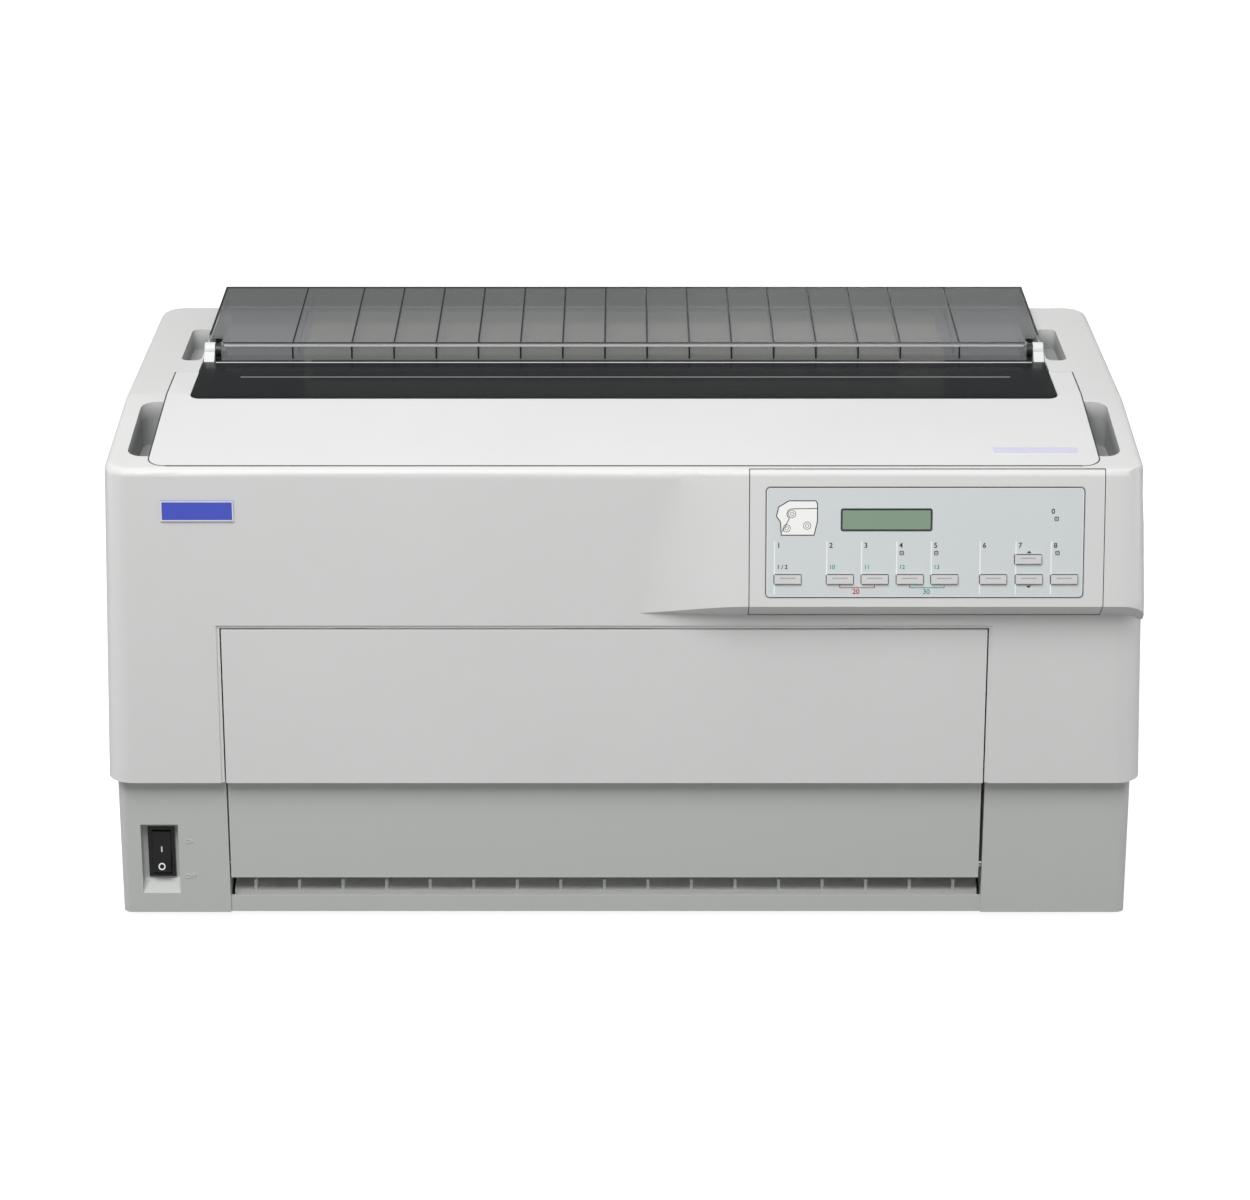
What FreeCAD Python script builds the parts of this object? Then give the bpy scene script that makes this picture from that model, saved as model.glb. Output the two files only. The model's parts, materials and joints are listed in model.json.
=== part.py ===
import FreeCAD, Part
import os
from math import atan, ceil, cos, degrees, floor, pi, radians, sin, sqrt, tan
from FreeCAD import Placement, Rotation, Vector

os.makedirs("parts", exist_ok=True)

# Wide-carriage dot matrix printer. +X right, front faces -Y, +Z up, origin under the middle on the table.

# Upper housing
housing_width = 700.0
shell_half = housing_width / 2
housing_front = -178.0
housing_rear = 184.0
housing_bottom = 104.5
housing_corner = 18.0
side_draft_share = 0.0286
front_draft_share = 0.0272
rear_draft_share = 0.01
roof_front_y = -172.0
roof_kink_y = -46.0
roof_z = 339.0
roof_fall = 14.0
roof_front_z = roof_z - roof_fall
roof_round = 6.0
wall = 3.0
rim_width = 9.0
rim_height = 3.0
seam = 0.6

# Control panel lip on the right of the front
lip_tip_y = -189.0
lip_tip_drop = 89.5
lip_tip_z = roof_front_z - lip_tip_drop
lip_tip_height = 10.5
lip_under_z = lip_tip_z - lip_tip_height
lip_face_top_y = -172.6
lip_root_y = -165.0
blend_steps = 9
blend_sink = 1.0

# Control panel insert, label and what they carry
panel_margin = 33.5
panel_width = 233.5
panel_right = shell_half - panel_margin
panel_left = panel_right - panel_width
lip_overhang = 1.0
lip_blend_length = 87.0
lip_full_x = panel_left - lip_overhang
lip_blend_x = lip_full_x - lip_blend_length
panel_top_y = -170.0
panel_wall = 3.0
label_left_margin = 10.4
label_right_margin = 12.9
label_left = panel_left + label_left_margin
label_right = panel_right - label_right_margin
label_rise = 5.8
label_height = 72.8
label_low_z = lip_tip_z + label_rise
label_high_z = label_low_z + label_height
label_sink = 0.8
label_thick = 0.6
label_gap = 0.3
label_corner = 3.0
display_margin = 50.1
display_width = 59.2
display_left = label_left + display_margin
display_right = display_left + display_width
display_rise = 44.4
display_height = 13.7
display_low_z = label_low_z + display_rise
display_high_z = display_low_z + display_height
display_sink = 0.6
board_depth = 12.0
board_thick = 1.6
board_margin = 6.0
button_width = 17.5
button_height = 5.6
button_proud = 1.4
button_travel = 1.0
button_gap = 0.35
button_flange = 1.6
button_flange_thick = 1.0
button_flange_gap = 0.2
button_row_rise = 12.3
button_upper_rise = 25.5
button_offsets = (("button_1", 14.7, button_row_rise), ("button_2", 49.2, button_row_rise),
                  ("button_3", 72.2, button_row_rise), ("button_4", 95.4, button_row_rise),
                  ("button_5", 118.2, button_row_rise), ("button_6", 150.4, button_row_rise),
                  ("button_7", 174.0, button_row_rise), ("button_8", 197.3, button_row_rise),
                  ("button_9", 173.3, button_upper_rise))
button_places = tuple((name, label_left + x, label_low_z + z) for name, x, z in button_offsets)
lamp_size = 2.0
lamp_gap = 0.2
lamp_offsets = ((89.9, 29.5), (112.7, 29.5), (192.7, 29.5), (191.7, 51.9))
lamp_places = tuple((label_left + x, label_low_z + z) for x, z in lamp_offsets)

# Blank plates on the casing
badge_margin = 44.2
badge_width = 48.2
badge_left = -shell_half + badge_margin
badge_right = badge_left + badge_width
badge_drop = 35.0
badge_height = 14.0
badge_low_z = roof_front_z - badge_drop
badge_high_z = badge_low_z + badge_height
badge_thick = 1.0
plate_front_y = -144.9
plate_rear_y = -136.5
plate_thick = 0.5

# Base
base_step = 6.0
base_half = shell_half - base_step
base_front = -170.0
base_rear = 176.0
base_bottom = 5.0
base_corner = 6.0
base_wall = 3.0
base_floor = 3.0
left_pillar = 74.0
right_pillar = 99.0
bay_left = -base_half + left_pillar
bay_right = base_half - right_pillar
bay_depth = 30.0
bar_top = 17.0
foot_radius = 14.0
foot_inset = 40.0
foot_round = 1.5

# Power switch at the left of the base
recess_margin = 14.3
recess_width = 25.6
recess_left = -base_half + recess_margin
recess_right = recess_left + recess_width
recess_low_z = 18.0
recess_ramp_z = 27.0
recess_high_z = 70.4
recess_depth = 10.0
switch_centre_x = (recess_left + recess_right) / 2
switch_centre_z = 46.5
switch_width = 18.4
switch_height = 36.4
switch_flange = 1.5
switch_depth = 22.0
rocker_width = 12.4
rocker_half = 14.6
rocker_dip = 2.0
rocker_front = 6.0
rocker_back = 4.0
rocker_tilt = 8.0
rocker_axis_depth = 2.0
rocker_pin_radius = 1.5
rocker_pin_length = 1.2
rocker_gap = 0.5

# Mains inlet and data ports at the rear of the base
inlet_margin = 44.0
inlet_x = -base_half + inlet_margin
inlet_z = 44.0
inlet_width = 27.0
inlet_height = 20.0
inlet_flange_width = 40.0
inlet_flange_height = 24.0
inlet_flange_thick = 2.0
inlet_depth = 22.0
inlet_wall = 1.5
inlet_cavity_depth = 16.0
inlet_pin_pitch = 7.0
inlet_pin_width = 2.0
inlet_pin_height = 5.0
inlet_pin_length = 13.0
inlet_pin_rise = 1.0
port_margins = ((82.0, 46.0), (38.0, 26.0))
port_places = tuple((base_half - margin, width) for margin, width in port_margins)
port_height = 12.0
port_depth = 16.0
port_wall = 1.2
port_cavity_depth = 6.0
port_tongue = 3.0

# Top cover and its smoked window
cover_margin = 35.5
cover_half = shell_half - cover_margin
cover_front = -165.0
cover_strip_rear = 7.5
cover_corner = 12.0
cover_wall = 3.0
cover_ledge = 6.0
cover_ledge_thick = 3.0
cover_rest_gap = 0.3
window_margin = 16.5
window_half = cover_half - window_margin
window_front = -53.6
window_rear = 34.0
window_corner = 7.0
window_thick = 2.5
window_gap = 0.4
window_ledge = 8.0
window_ledge_thick = 2.5
window_lip_drop = 5.0
plate_margin = 12.9
plate_width = 56.0
plate_right = cover_half - plate_margin
plate_left = plate_right - plate_width

# Hinge line shared by the cover and the rear lid
hinge_y = 50.0
hinge_rise = 4.0
hinge_z = roof_z + hinge_rise
hinge_pin_radius = 2.0
pin_play = 0.05
arm_reach = 1.2
arm_thick = 7.2
arm_foot_margin = 8.0
arm_boss_radius = 5.5
arm_bar_drop = 13.0
arm_bar_bottom = hinge_z - arm_bar_drop
arm_foot_front = -6.0
bracket_thick = 3.7
hinge_side_gap = 0.5
ear_thick = 3.1
bracket_ear_radius = 4.8
bracket_foot_front = 61.0
bracket_foot_rear = 78.0

# Smoked rear lid
lid_gap = 1.0
lid_half = window_half - lid_gap
arm_outer = lid_half + arm_reach
arm_inner = arm_outer - arm_thick
arm_foot_outer = cover_half - arm_foot_margin
bracket_outer = arm_inner - hinge_side_gap
bracket_inner = bracket_outer - bracket_thick
ear_outer = bracket_inner - hinge_side_gap
ear_inner = ear_outer - ear_thick
lid_front = 44.0
lid_rear = 189.0
lid_rise = 6.0
lid_climb = 3.0
lid_front_z = hinge_z + lid_rise
lid_rear_z = lid_front_z + lid_climb
lid_thick = 2.4
lid_face_height = 12.0
lid_face_bottom = lid_front_z - lid_face_height
lid_notch_rear = 65.0
lid_rib_thick = 1.6
lid_rib_height = 6.4
lid_rib_bottom = lid_front_z - lid_rib_height
lid_flange_height = 9.0
lid_flange_bottom = lid_front_z - lid_flange_height
lid_flange_thick = 2.5
lid_rib_rear_margin = 3.0
lid_rib_margin = 90.0

# Rear deck and paper guides
rib_pitch = 30.0
outer_rib_share = 1.27
paper_centre = -13.5
deck_half = bracket_outer
deck_front = 60.0
deck_rear = 178.0
deck_drop = 3.0
deck_top = roof_z - deck_drop
deck_thick = 3.0
opening_rear = 176.0
rear_guide_side_gap = 1.0
rear_guide_thick = 1.5
rear_guide_drop = 37.0
rear_guide_lip = 3.0
rear_slot_low = 62.0
rear_slot_high = 98.0
tear_bar_inset = 20.0
tear_bar_thick = 1.2
tear_bar_height = 15.0

# Finger pockets
front_pocket_tuck = 11.5
front_pocket_margin = 20.0
front_pocket_inner = cover_half - front_pocket_tuck
front_pocket_outer = shell_half - front_pocket_margin
front_pocket_front = -150.0
front_pocket_rear = -59.0
front_pocket_depth = 20.0
rear_pocket_margin = 35.5
rear_pocket_outer = shell_half - rear_pocket_margin
rear_pocket_front = 37.0
rear_pocket_rear = 118.0
rear_pocket_depth = 15.0
rear_pocket_wall = 1.4
pocket_wall = 2.5
pocket_corner = 7.0
pocket_corner_share = 0.4
pocket_ramp_share = 0.45

# Front door
door_top_drop = 11.4
door_top = lip_under_z - door_top_drop
door_bottom = 31.1
door_wall = 3.0
door_gap = 1.1
door_right_gap = 2.4
door_left = bay_left + door_gap
door_right = bay_right - door_right_gap
groove_width = 2.2
groove_depth = 1.2
door_pivot_y = -162.0
door_pivot_z = 38.0
door_pin_radius = 3.0
door_ear_radius = 5.5
door_ear_thick = 6.0
door_pin_reach = 4.0

# Front paper guide with its ribs
guide_front = -160.0
guide_rear = -100.0
guide_side_gap = 2.0
guide_left = bay_left + guide_side_gap
guide_right = bay_right - guide_side_gap
guide_rear_z = 38.0
guide_thick = 2.5
rib_thick = 2.0
rib_height = 8.0

# Mechanism frame
frame_margin = 120.0
frame_half_span = shell_half - frame_margin
rear_guide_half = frame_half_span - rear_guide_side_gap
tear_bar_half = frame_half_span - tear_bar_inset
frame_thick = 2.5
frame_front_low = -96.0
frame_front_high = -140.0
frame_rear = 140.0
frame_knee_low = 140.0
frame_knee_high = 180.0
frame_drop = 77.0
frame_top = roof_z - frame_drop
frame_rear_top = 140.0
frame_slope_y = 10.0
frame_foot_width = 14.0
shelf_drop = 94.0
shelf_bottom = frame_top - shelf_drop
shelf_reach = 51.0
shelf_front = -142.0
shelf_rear = -94.0

# Platen and its drive
platen_y = -36.0
platen_drop = 46.0
platen_z = frame_top - platen_drop
platen_radius = 24.0
platen_inset = 15.0
platen_half_length = frame_half_span - platen_inset
platen_shaft_radius = 6.0
platen_shaft_reach = 16.0
gear_module = 1.5
platen_teeth = 60
pinion_teeth = 12
gear_width = 8.0
gear_side_gap = 2.5
gear_air = 0.8
tooth_share = 0.32
tooth_tip_share = 0.17
addendum_share = 0.8
dedendum_share = 1.25
pinion_angle = -50.0
motor_size = 42.0
motor_length = 40.0
motor_shaft_radius = 3.0
motor_corner = 5.0
motor_plate_margin = 4.0

# Carriage, its rods and belt
rod_front_y = -120.0
rod_front_rise = 20.0
rod_front_z = platen_z + rod_front_rise
rod_front_radius = 5.0
rod_rear_y = -100.0
rod_rear_drop = 20.0
rod_rear_z = platen_z - rod_rear_drop
rod_rear_radius = 6.0
carriage_half = 34.0
carriage_front = -130.0
carriage_rear = -86.0
carriage_drop = 30.0
carriage_bottom = platen_z - carriage_drop
carriage_rise = 32.0
carriage_top = platen_z + carriage_rise
carriage_end = 31.0
carriage_travel = frame_half_span - carriage_half - carriage_end
head_half = 20.0
head_nose_half = 8.0
head_half_height = 16.0
head_bottom = platen_z - head_half_height
head_top = platen_z + head_half_height
head_nose_half_height = 5.0
head_nose_low = platen_z - head_nose_half_height
head_nose_high = platen_z + head_nose_half_height
head_fins = 4
ribbon_thick = 0.4
ribbon_gap = 0.6
ribbon_half_height = 6.0
ribbon_low = platen_z - ribbon_half_height
ribbon_high = platen_z + ribbon_half_height
cartridge_front = -150.0
cartridge_rear = -66.0
cartridge_height = 28.0
cartridge_arm = 12.0
cartridge_arm_inset = 5.0
pulley_radius = 10.0
pulley_y = -118.0
pulley_inset = 23.5
pulley_lift = 5.0
pulley_bottom = shelf_bottom + pulley_lift
pulley_height = 9.0
belt_thick = 1.2
belt_height = 6.0
belt_gap = 0.3
belt_lift = 1.5
belt_bottom = pulley_bottom + belt_lift
foot_half = 15.0
foot_wall = 3.0

# Tractors
front_shaft_y = -86.0
front_shaft_z = 82.0
front_rod_z = 54.0
rear_shaft_y = 90.0
rear_rod_y = 118.0
rear_shaft_z = 104.0
tractor_shaft_radius = 5.0
tractor_rod_radius = 4.0
tractor_half_width = 12.0
tractor_inset = 40.0
tractor_offset = frame_half_span - tractor_inset
tractor_round = 11.0
tractor_pin_radius = 1.6
tractor_pin_height = 1.8
tractor_pin_pitch = 12.7
tractor_pin_count = 3
motor_bore_depth = 20.0

# Electronics
supply_margin = 8.0
supply_width = 64.0
supply_left = -base_half + supply_margin
supply_right = supply_left + supply_width
supply_front = -110.0
supply_rear = 140.0
supply_height = 80.0
supply_vents = 8
supply_vent_width = 4.0
board_width = 98.0
board_right = base_half - supply_margin
board_left = board_right - board_width
board_front = -90.0
board_rear = 170.0
board_height = 20.0
board_leg = 4.0
chip_height = 4.0

over = 5.0

roof_slope = (roof_z - roof_front_z) / (roof_kink_y - roof_front_y)
shell_sky = lid_rear_z
panel_tilt = degrees(atan((lip_face_top_y - lip_tip_y) / (roof_front_z - lip_tip_z)))
frame_left = paper_centre - frame_half_span
frame_right = paper_centre + frame_half_span
base_deck = base_bottom + base_floor
gear_pitch = gear_module * platen_teeth / 2
pinion_pitch = gear_module * pinion_teeth / 2
gear_distance = gear_pitch + pinion_pitch + gear_air
pinion_y = platen_y + gear_distance * cos(radians(pinion_angle))
pinion_z = platen_z + gear_distance * sin(radians(pinion_angle))
gear_near = frame_right + frame_thick + gear_side_gap
motor_plate_x = gear_near + gear_width + gear_side_gap
drive_pulley_x = frame_right - pulley_inset
idler_pulley_x = frame_left + pulley_inset


def box(x0, x1, y0, y1, z0, z1):
    return Part.makeBox(x1 - x0, y1 - y0, z1 - z0, Vector(x0, y0, z0))


def rod_x(y, z, radius, x0, x1):
    return Part.makeCylinder(radius, x1 - x0, Vector(x0, y, z), Vector(1, 0, 0))


def rod_y(x, z, radius, y0, y1):
    return Part.makeCylinder(radius, y1 - y0, Vector(x, y0, z), Vector(0, 1, 0))


def rod_z(x, y, radius, z0, z1):
    return Part.makeCylinder(radius, z1 - z0, Vector(x, y, z0), Vector(0, 0, 1))


def prism_x(points, x0, x1):
    corners = [Vector(x0, y, z) for y, z in points]
    outline = Part.makePolygon(corners + corners[:1])
    return Part.Face(outline).extrude(Vector(x1 - x0, 0, 0))


def rounded_outline(x0, x1, y0, y1, z, radius):
    """Closed rectangle with round corners, lying level at height z"""
    near = radius * (1 - sqrt(0.5))
    straight = ((x0 + radius, y0), (x1 - radius, y0), (x1, y0 + radius), (x1, y1 - radius),
                (x1 - radius, y1), (x0 + radius, y1), (x0, y1 - radius), (x0, y0 + radius))
    middles = ((x1 - near, y0 + near), (x1 - near, y1 - near), (x0 + near, y1 - near),
               (x0 + near, y0 + near))
    edges = []
    for side in range(4):
        start = Vector(*straight[2 * side], z)
        bend = Vector(*straight[2 * side + 1], z)
        after = Vector(*straight[(2 * side + 2) % 8], z)
        edges.append(Part.makeLine(start, bend))
        edges.append(Part.Arc(bend, Vector(*middles[side], z), after).toShape())
    return Part.Wire(edges)


def rounded_box(x0, x1, y0, y1, z0, z1, radius):
    outline = rounded_outline(x0, x1, y0, y1, z0, radius)
    return Part.Face(outline).extrude(Vector(0, 0, z1 - z0))


def mirrored(shape):
    return shape.mirror(Vector(0, 0, 0), Vector(1, 0, 0))


def rib_places(low, high):
    """Places between low and high that lie whole rib pitches from the paper's centre"""
    first = ceil((low - paper_centre) / rib_pitch)
    last = floor((high - paper_centre) / rib_pitch)
    return [paper_centre + rib_pitch * step for step in range(first, last + 1)]


def save(name, shape):
    shape = shape.removeSplitter() if len(shape.Solids) == 1 else shape
    print(name, len(shape.Solids), shape.isValid(), round(shape.Volume))
    shape.exportStep("parts/" + name + ".step")


def roof_height(y):
    return min(roof_z, roof_front_z + roof_slope * (y - roof_front_y))


def casing_ring(z, inset, front=None):
    rise = z - housing_bottom
    half = shell_half - side_draft_share * rise - inset
    if front is None:
        front = housing_front + front_draft_share * rise
    rear = housing_rear - rear_draft_share * rise - inset
    return rounded_outline(-half, half, front + inset, rear, z, housing_corner - inset)


def under_roof(drop, low_z):
    """Everything between low_z and the roof lowered by drop"""
    front = 2 * housing_front
    rear = 2 * housing_rear
    slope_z = roof_front_z + roof_slope * (front - roof_front_y)
    points = [(front, low_z), (front, slope_z - drop), (roof_kink_y, roof_z - drop),
              (rear, roof_z - drop), (rear, low_z)]
    return prism_x(points, -housing_width, housing_width)


def casing_block(inset, low_z):
    """Tapered body of the casing, drawn in by inset on every side"""
    rings = [casing_ring(low_z, inset), casing_ring(shell_sky, inset)]
    return Part.makeLoft(rings, True, True).common(under_roof(inset, low_z - over))


def lies_on_roof(edge):
    stops = (edge.FirstParameter, (edge.FirstParameter + edge.LastParameter) / 2, edge.LastParameter)
    points = [edge.valueAt(stop) for stop in stops]
    on_kink = all(abs(point.y - roof_kink_y) < pin_play for point in points)
    return not on_kink and all(abs(point.z - roof_height(point.y)) < pin_play for point in points)


def lip_profile(x, tip_y, tip_z, top_y):
    """Section of the control panel lip at x, its upper corner rounded like the roof's edge"""
    lean = (top_y - tip_y) / (roof_front_z - tip_z)
    start_z = roof_front_z + roof_slope * (tip_y - lean * tip_z - roof_front_y)
    corner_z = start_z / (1 - roof_slope * lean)
    corner = Vector(x, tip_y + lean * (corner_z - tip_z), corner_z)
    down = Vector(0, -lean, -1)
    down.normalize()
    back = Vector(0, cos(atan(roof_slope)), sin(atan(roof_slope)))
    opening = down.getAngle(back)
    reach = roof_round / tan(opening / 2)
    inward = down + back
    inward.normalize()
    centre = corner + inward * (roof_round / sin(opening / 2))
    low = corner + down * reach
    high = corner + back * reach
    root_z = lip_under_z + under_slope * (lip_root_y - under_wall_y)
    root_low = Vector(x, lip_root_y, root_z)
    root_high = Vector(x, lip_root_y, roof_front_z + roof_slope * (lip_root_y - roof_front_y))
    tip = Vector(x, tip_y, tip_z)
    edges = [Part.makeLine(root_high, high), Part.Arc(high, centre - inward * roof_round, low).toShape()]
    edges += [Part.makeLine(low, tip), Part.makeLine(tip, root_low), Part.makeLine(root_low, root_high)]
    return Part.Wire(edges)


under_wall_y = housing_front + front_draft_share * (lip_under_z - housing_bottom)
under_slope = (lip_under_z - lip_tip_z) / (under_wall_y - lip_tip_y)
face_lean = (lip_face_top_y - lip_tip_y) / (roof_front_z - lip_tip_z)


def panel_lip():
    """Full-depth lip from lip_full_x to the right side, rounded where it meets the side"""
    top_y = lip_tip_y + face_lean * (shell_sky - lip_tip_z)
    low = casing_ring(lip_under_z - lip_full_x, 0, lip_tip_y)
    rings = [low, casing_ring(lip_tip_z, 0, lip_tip_y), casing_ring(shell_sky, 0, top_y)]
    profile = lip_profile(lip_full_x, lip_tip_y, lip_tip_z, lip_face_top_y)
    bar = Part.Face(profile).extrude(Vector(shell_half, 0, 0))
    return bar.common(Part.makeLoft(rings, True, True))


def panel_blend():
    """The lip's left end, where it swells out of the flat front along an S curve"""
    wall_y = housing_front + front_draft_share * (lip_tip_z - housing_bottom)
    sections = []
    for step in range(blend_steps):
        way = step / (blend_steps - 1)
        rise = way * way * (3 - 2 * way)
        sink = blend_sink * (1 - rise)
        tip_y = wall_y + (lip_tip_y - wall_y) * rise + sink
        tip_z = lip_under_z + (lip_tip_z - lip_under_z) * rise
        top_y = lip_face_top_y + 2 * sink
        x = lip_blend_x + (lip_full_x - lip_blend_x) * way
        sections.append(lip_profile(x, tip_y, tip_z, top_y))
    return Part.makeLoft(sections, True, False)


plain_casing = casing_block(0, housing_bottom)
roof_edges = [edge for edge in plain_casing.Edges if lies_on_roof(edge)]
round_casing = plain_casing.makeFillet(roof_round, roof_edges)
casing_form = round_casing.fuse([panel_lip(), panel_blend()]).removeSplitter()
casing_inside = casing_block(wall, housing_bottom - over)


def panel_place(shape):
    """Turn a shape drawn upright on the plane y = 0, z = 0 at the lip's tip onto the panel's face"""
    shape.Placement = Placement(Vector(0, lip_tip_y, lip_tip_z), Rotation(Vector(1, 0, 0), -panel_tilt))
    return shape


def up_panel(z):
    return (z - lip_tip_z) / cos(radians(panel_tilt))


def panel_box(x0, x1, z0, z1, outer, inner):
    """Box square to the panel's face, from outer to inner depth behind it"""
    return panel_place(box(x0, x1, outer, inner, up_panel(z0), up_panel(z1)))


def panel_rounded(x0, x1, z0, z1, outer, inner, radius):
    outline = rounded_outline(x0, x1, up_panel(z0), up_panel(z1), 0, radius)
    plate = Part.Face(outline).extrude(Vector(0, 0, inner - outer))
    plate.rotate(Vector(0, 0, 0), Vector(1, 0, 0), 90)
    plate.translate(Vector(0, inner, 0))
    return panel_place(Part.makeCompound([plate])).Solids[0]


def pocket_tub(x0, x1, y0, y1, depth, side_wall):
    floor_z = roof_height(y0) - depth
    corner = (x1 - x0) * pocket_corner_share
    return rounded_box(x0 - side_wall, x1 + pocket_wall, y0 - pocket_wall, y1 + pocket_wall,
                       floor_z - pocket_wall, roof_z, corner)


def pocket_hollow(x0, x1, y0, y1, depth):
    """Hollow with round corners and a floor that ramps up at the front"""
    floor_z = roof_height(y0) - depth
    hollow = rounded_box(x0, x1, y0, y1, floor_z, roof_z + over, (x1 - x0) * pocket_corner_share)
    ramp_y = y0 + (y1 - y0) * pocket_ramp_share
    ramp = prism_x([(y0 - over, floor_z - over), (y0 - over, floor_z + depth * pocket_ramp_share),
                    (ramp_y, floor_z), (ramp_y, floor_z - over)], x0 - over, x1 + over)
    return hollow.cut(ramp)


def upper_housing():
    shell = casing_form.cut(casing_inside)
    inner = casing_block(wall + rim_width, housing_bottom - over)
    rim = casing_block(wall / 2, housing_bottom).cut(inner)
    rim = rim.common(box(-shell_half, shell_half, housing_front, housing_rear,
                         housing_bottom, housing_bottom + rim_height))
    rest_top = cover_wall + cover_rest_gap
    rest = rounded_box(-cover_half - cover_ledge, cover_half + cover_ledge, cover_front - cover_ledge,
                       cover_strip_rear + seam, roof_front_z - roof_round - over, roof_z, cover_corner)
    rest = rest.cut(box(-cover_half + cover_ledge, cover_half - cover_ledge, cover_front + cover_ledge,
                        housing_rear, 0, shell_sky))
    rest = rest.common(under_roof(rest_top, 0)).cut(under_roof(rest_top + cover_ledge_thick, 0))
    rest = rest.common(casing_block(wall / 2, housing_bottom))
    shell = shell.fuse([rim])
    low_z = roof_front_z - 2 * roof_round
    hole = rounded_box(-cover_half - seam, cover_half + seam, cover_front - seam,
                       cover_strip_rear + 2 * cover_corner, low_z, shell_sky, cover_corner)
    hole = hole.common(box(-shell_half, shell_half, housing_front, cover_strip_rear + seam, low_z,
                           shell_sky))
    shell = shell.cut(hole)
    shell = shell.cut(box(-window_half - rear_pocket_wall + seam, window_half + rear_pocket_wall - seam,
                          0, opening_rear, deck_top - deck_thick, shell_sky))
    shell = shell.fuse([rest])
    for side in (-1, 1):
        tub = pocket_tub(front_pocket_inner, front_pocket_outer, front_pocket_front, front_pocket_rear,
                         front_pocket_depth, pocket_wall)
        tub = tub.cut(box(0, cover_half + seam, cover_front - seam, 0,
                          roof_front_z - 2 * roof_round, shell_sky).cut(under_roof(rest_top, 0)))
        tub = tub.common(under_roof(wall / 2, 0))
        rear_inner = window_half + 2 * rear_pocket_wall - seam
        rear_tub = pocket_tub(rear_inner, rear_pocket_outer, rear_pocket_front, rear_pocket_rear,
                              rear_pocket_depth, rear_pocket_wall)
        rear_tub = rear_tub.common(under_roof(wall / 2, 0))
        hollow = pocket_hollow(front_pocket_inner, front_pocket_outer, front_pocket_front,
                               front_pocket_rear,
                               front_pocket_depth)
        rear_hollow = pocket_hollow(rear_inner, rear_pocket_outer, rear_pocket_front, rear_pocket_rear,
                                    rear_pocket_depth)
        tubs = [tub, rear_tub]
        hollows = [hollow, rear_hollow]
        if side < 0:
            tubs = [mirrored(piece) for piece in tubs]
            hollows = [mirrored(piece) for piece in hollows]
        shell = shell.fuse(tubs).cut(hollows[0]).cut(hollows[1])
    shell = shell.cut(box(panel_left - seam, panel_right + seam, 2 * housing_front, panel_top_y + seam,
                          lip_under_z - seam, shell_sky))
    door_cut = box(door_left - door_gap, door_right + door_gap, 2 * housing_front, guide_front,
                   housing_bottom - over, door_top + door_gap)
    grown = groove_width + door_gap
    groove = box(door_left - grown, door_right + grown, 2 * housing_front, guide_front,
                 housing_bottom - over, door_top + grown)
    groove = groove.cut(casing_block(groove_depth, housing_bottom - 2 * over))
    return shell.cut(door_cut).cut(groove)


def control_panel_bezel():
    region = box(panel_left, panel_right, 2 * housing_front, panel_top_y, lip_under_z, shell_sky)
    body = casing_form.common(region)
    inner_tip = lip_tip_y + panel_wall / cos(radians(panel_tilt))
    low_z = lip_under_z + panel_wall
    high_z = roof_front_z - panel_wall
    tip_in = lip_tip_z + face_lean
    hollow = prism_x([(0, low_z), (under_wall_y, low_z), (inner_tip, tip_in),
                      (inner_tip + face_lean * (high_z - lip_tip_z), high_z), (0, high_z)],
                     panel_left + panel_wall, panel_right - panel_wall)
    body = body.cut(hollow)
    body = body.cut(panel_rounded(label_left - label_gap, label_right + label_gap, label_low_z - label_gap,
                                  label_high_z + label_gap, -over, label_sink, label_corner))
    return body.cut(Part.makeCompound(panel_holes(button_gap, lamp_gap)))


def panel_holes(around_button, around_lamp):
    holes = []
    for name, x, z in button_places:
        half = button_width / 2 + around_button
        tall = button_height / 2 + around_button
        holes.append(panel_box(x - half, x + half, z - tall, z + tall, -over, 2 * panel_wall))
    for x, z in lamp_places:
        half = lamp_size / 2 + around_lamp
        holes.append(panel_box(x - half, x + half, z - half, z + half, -over, 2 * panel_wall))
    holes.append(panel_box(display_left, display_right, display_low_z, display_high_z, -over,
                           2 * panel_wall))
    return holes


def panel_label():
    plate = panel_rounded(label_left, label_right, label_low_z, label_high_z,
                          label_sink - label_thick, label_sink, label_corner - label_gap)
    return plate.cut(Part.makeCompound(panel_holes(button_gap, lamp_gap)))


def button(x, z):
    half = button_width / 2
    tall = button_height / 2
    cap = panel_box(x - half, x + half, z - tall, z + tall, -button_proud,
                    board_depth - button_travel - seam)
    back = panel_wall + button_flange_gap
    flange = panel_box(x - half - button_flange, x + half + button_flange, z - tall - button_flange / 2,
                       z + tall + button_flange / 2, back, back + button_flange_thick)
    return cap.fuse(flange)


def indicator_lamps():
    half = lamp_size / 2
    pipes = [panel_box(x - half, x + half, z - half, z + half, 0, board_depth) for x, z in lamp_places]
    return Part.makeCompound(pipes)


def lcd_display():
    glass = panel_box(display_left + seam, display_right - seam, display_low_z + seam,
                      display_high_z - seam,
                      display_sink, panel_wall + seam)
    body = panel_box(display_left - over, display_right + over, display_low_z - over, display_high_z + over,
                     panel_wall + seam, board_depth)
    lamp_room = [panel_box(x - lamp_size, x + lamp_size, z - lamp_size, z + lamp_size, 0, board_depth)
                 for x, z in lamp_places]
    return glass.fuse(body).cut(Part.makeCompound(lamp_room))


def panel_board():
    return panel_box(label_left, label_right, label_low_z + board_margin, label_high_z - board_margin,
                     board_depth, board_depth + board_thick)


def badge_plate():
    low = housing_front + front_draft_share * (badge_low_z - housing_bottom)
    high = housing_front + front_draft_share * (badge_high_z - housing_bottom)
    points = [(low - badge_thick, badge_low_z), (high - badge_thick, badge_high_z), (high, badge_high_z),
              (low, badge_low_z)]
    return prism_x(points, badge_left, badge_right)


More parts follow.
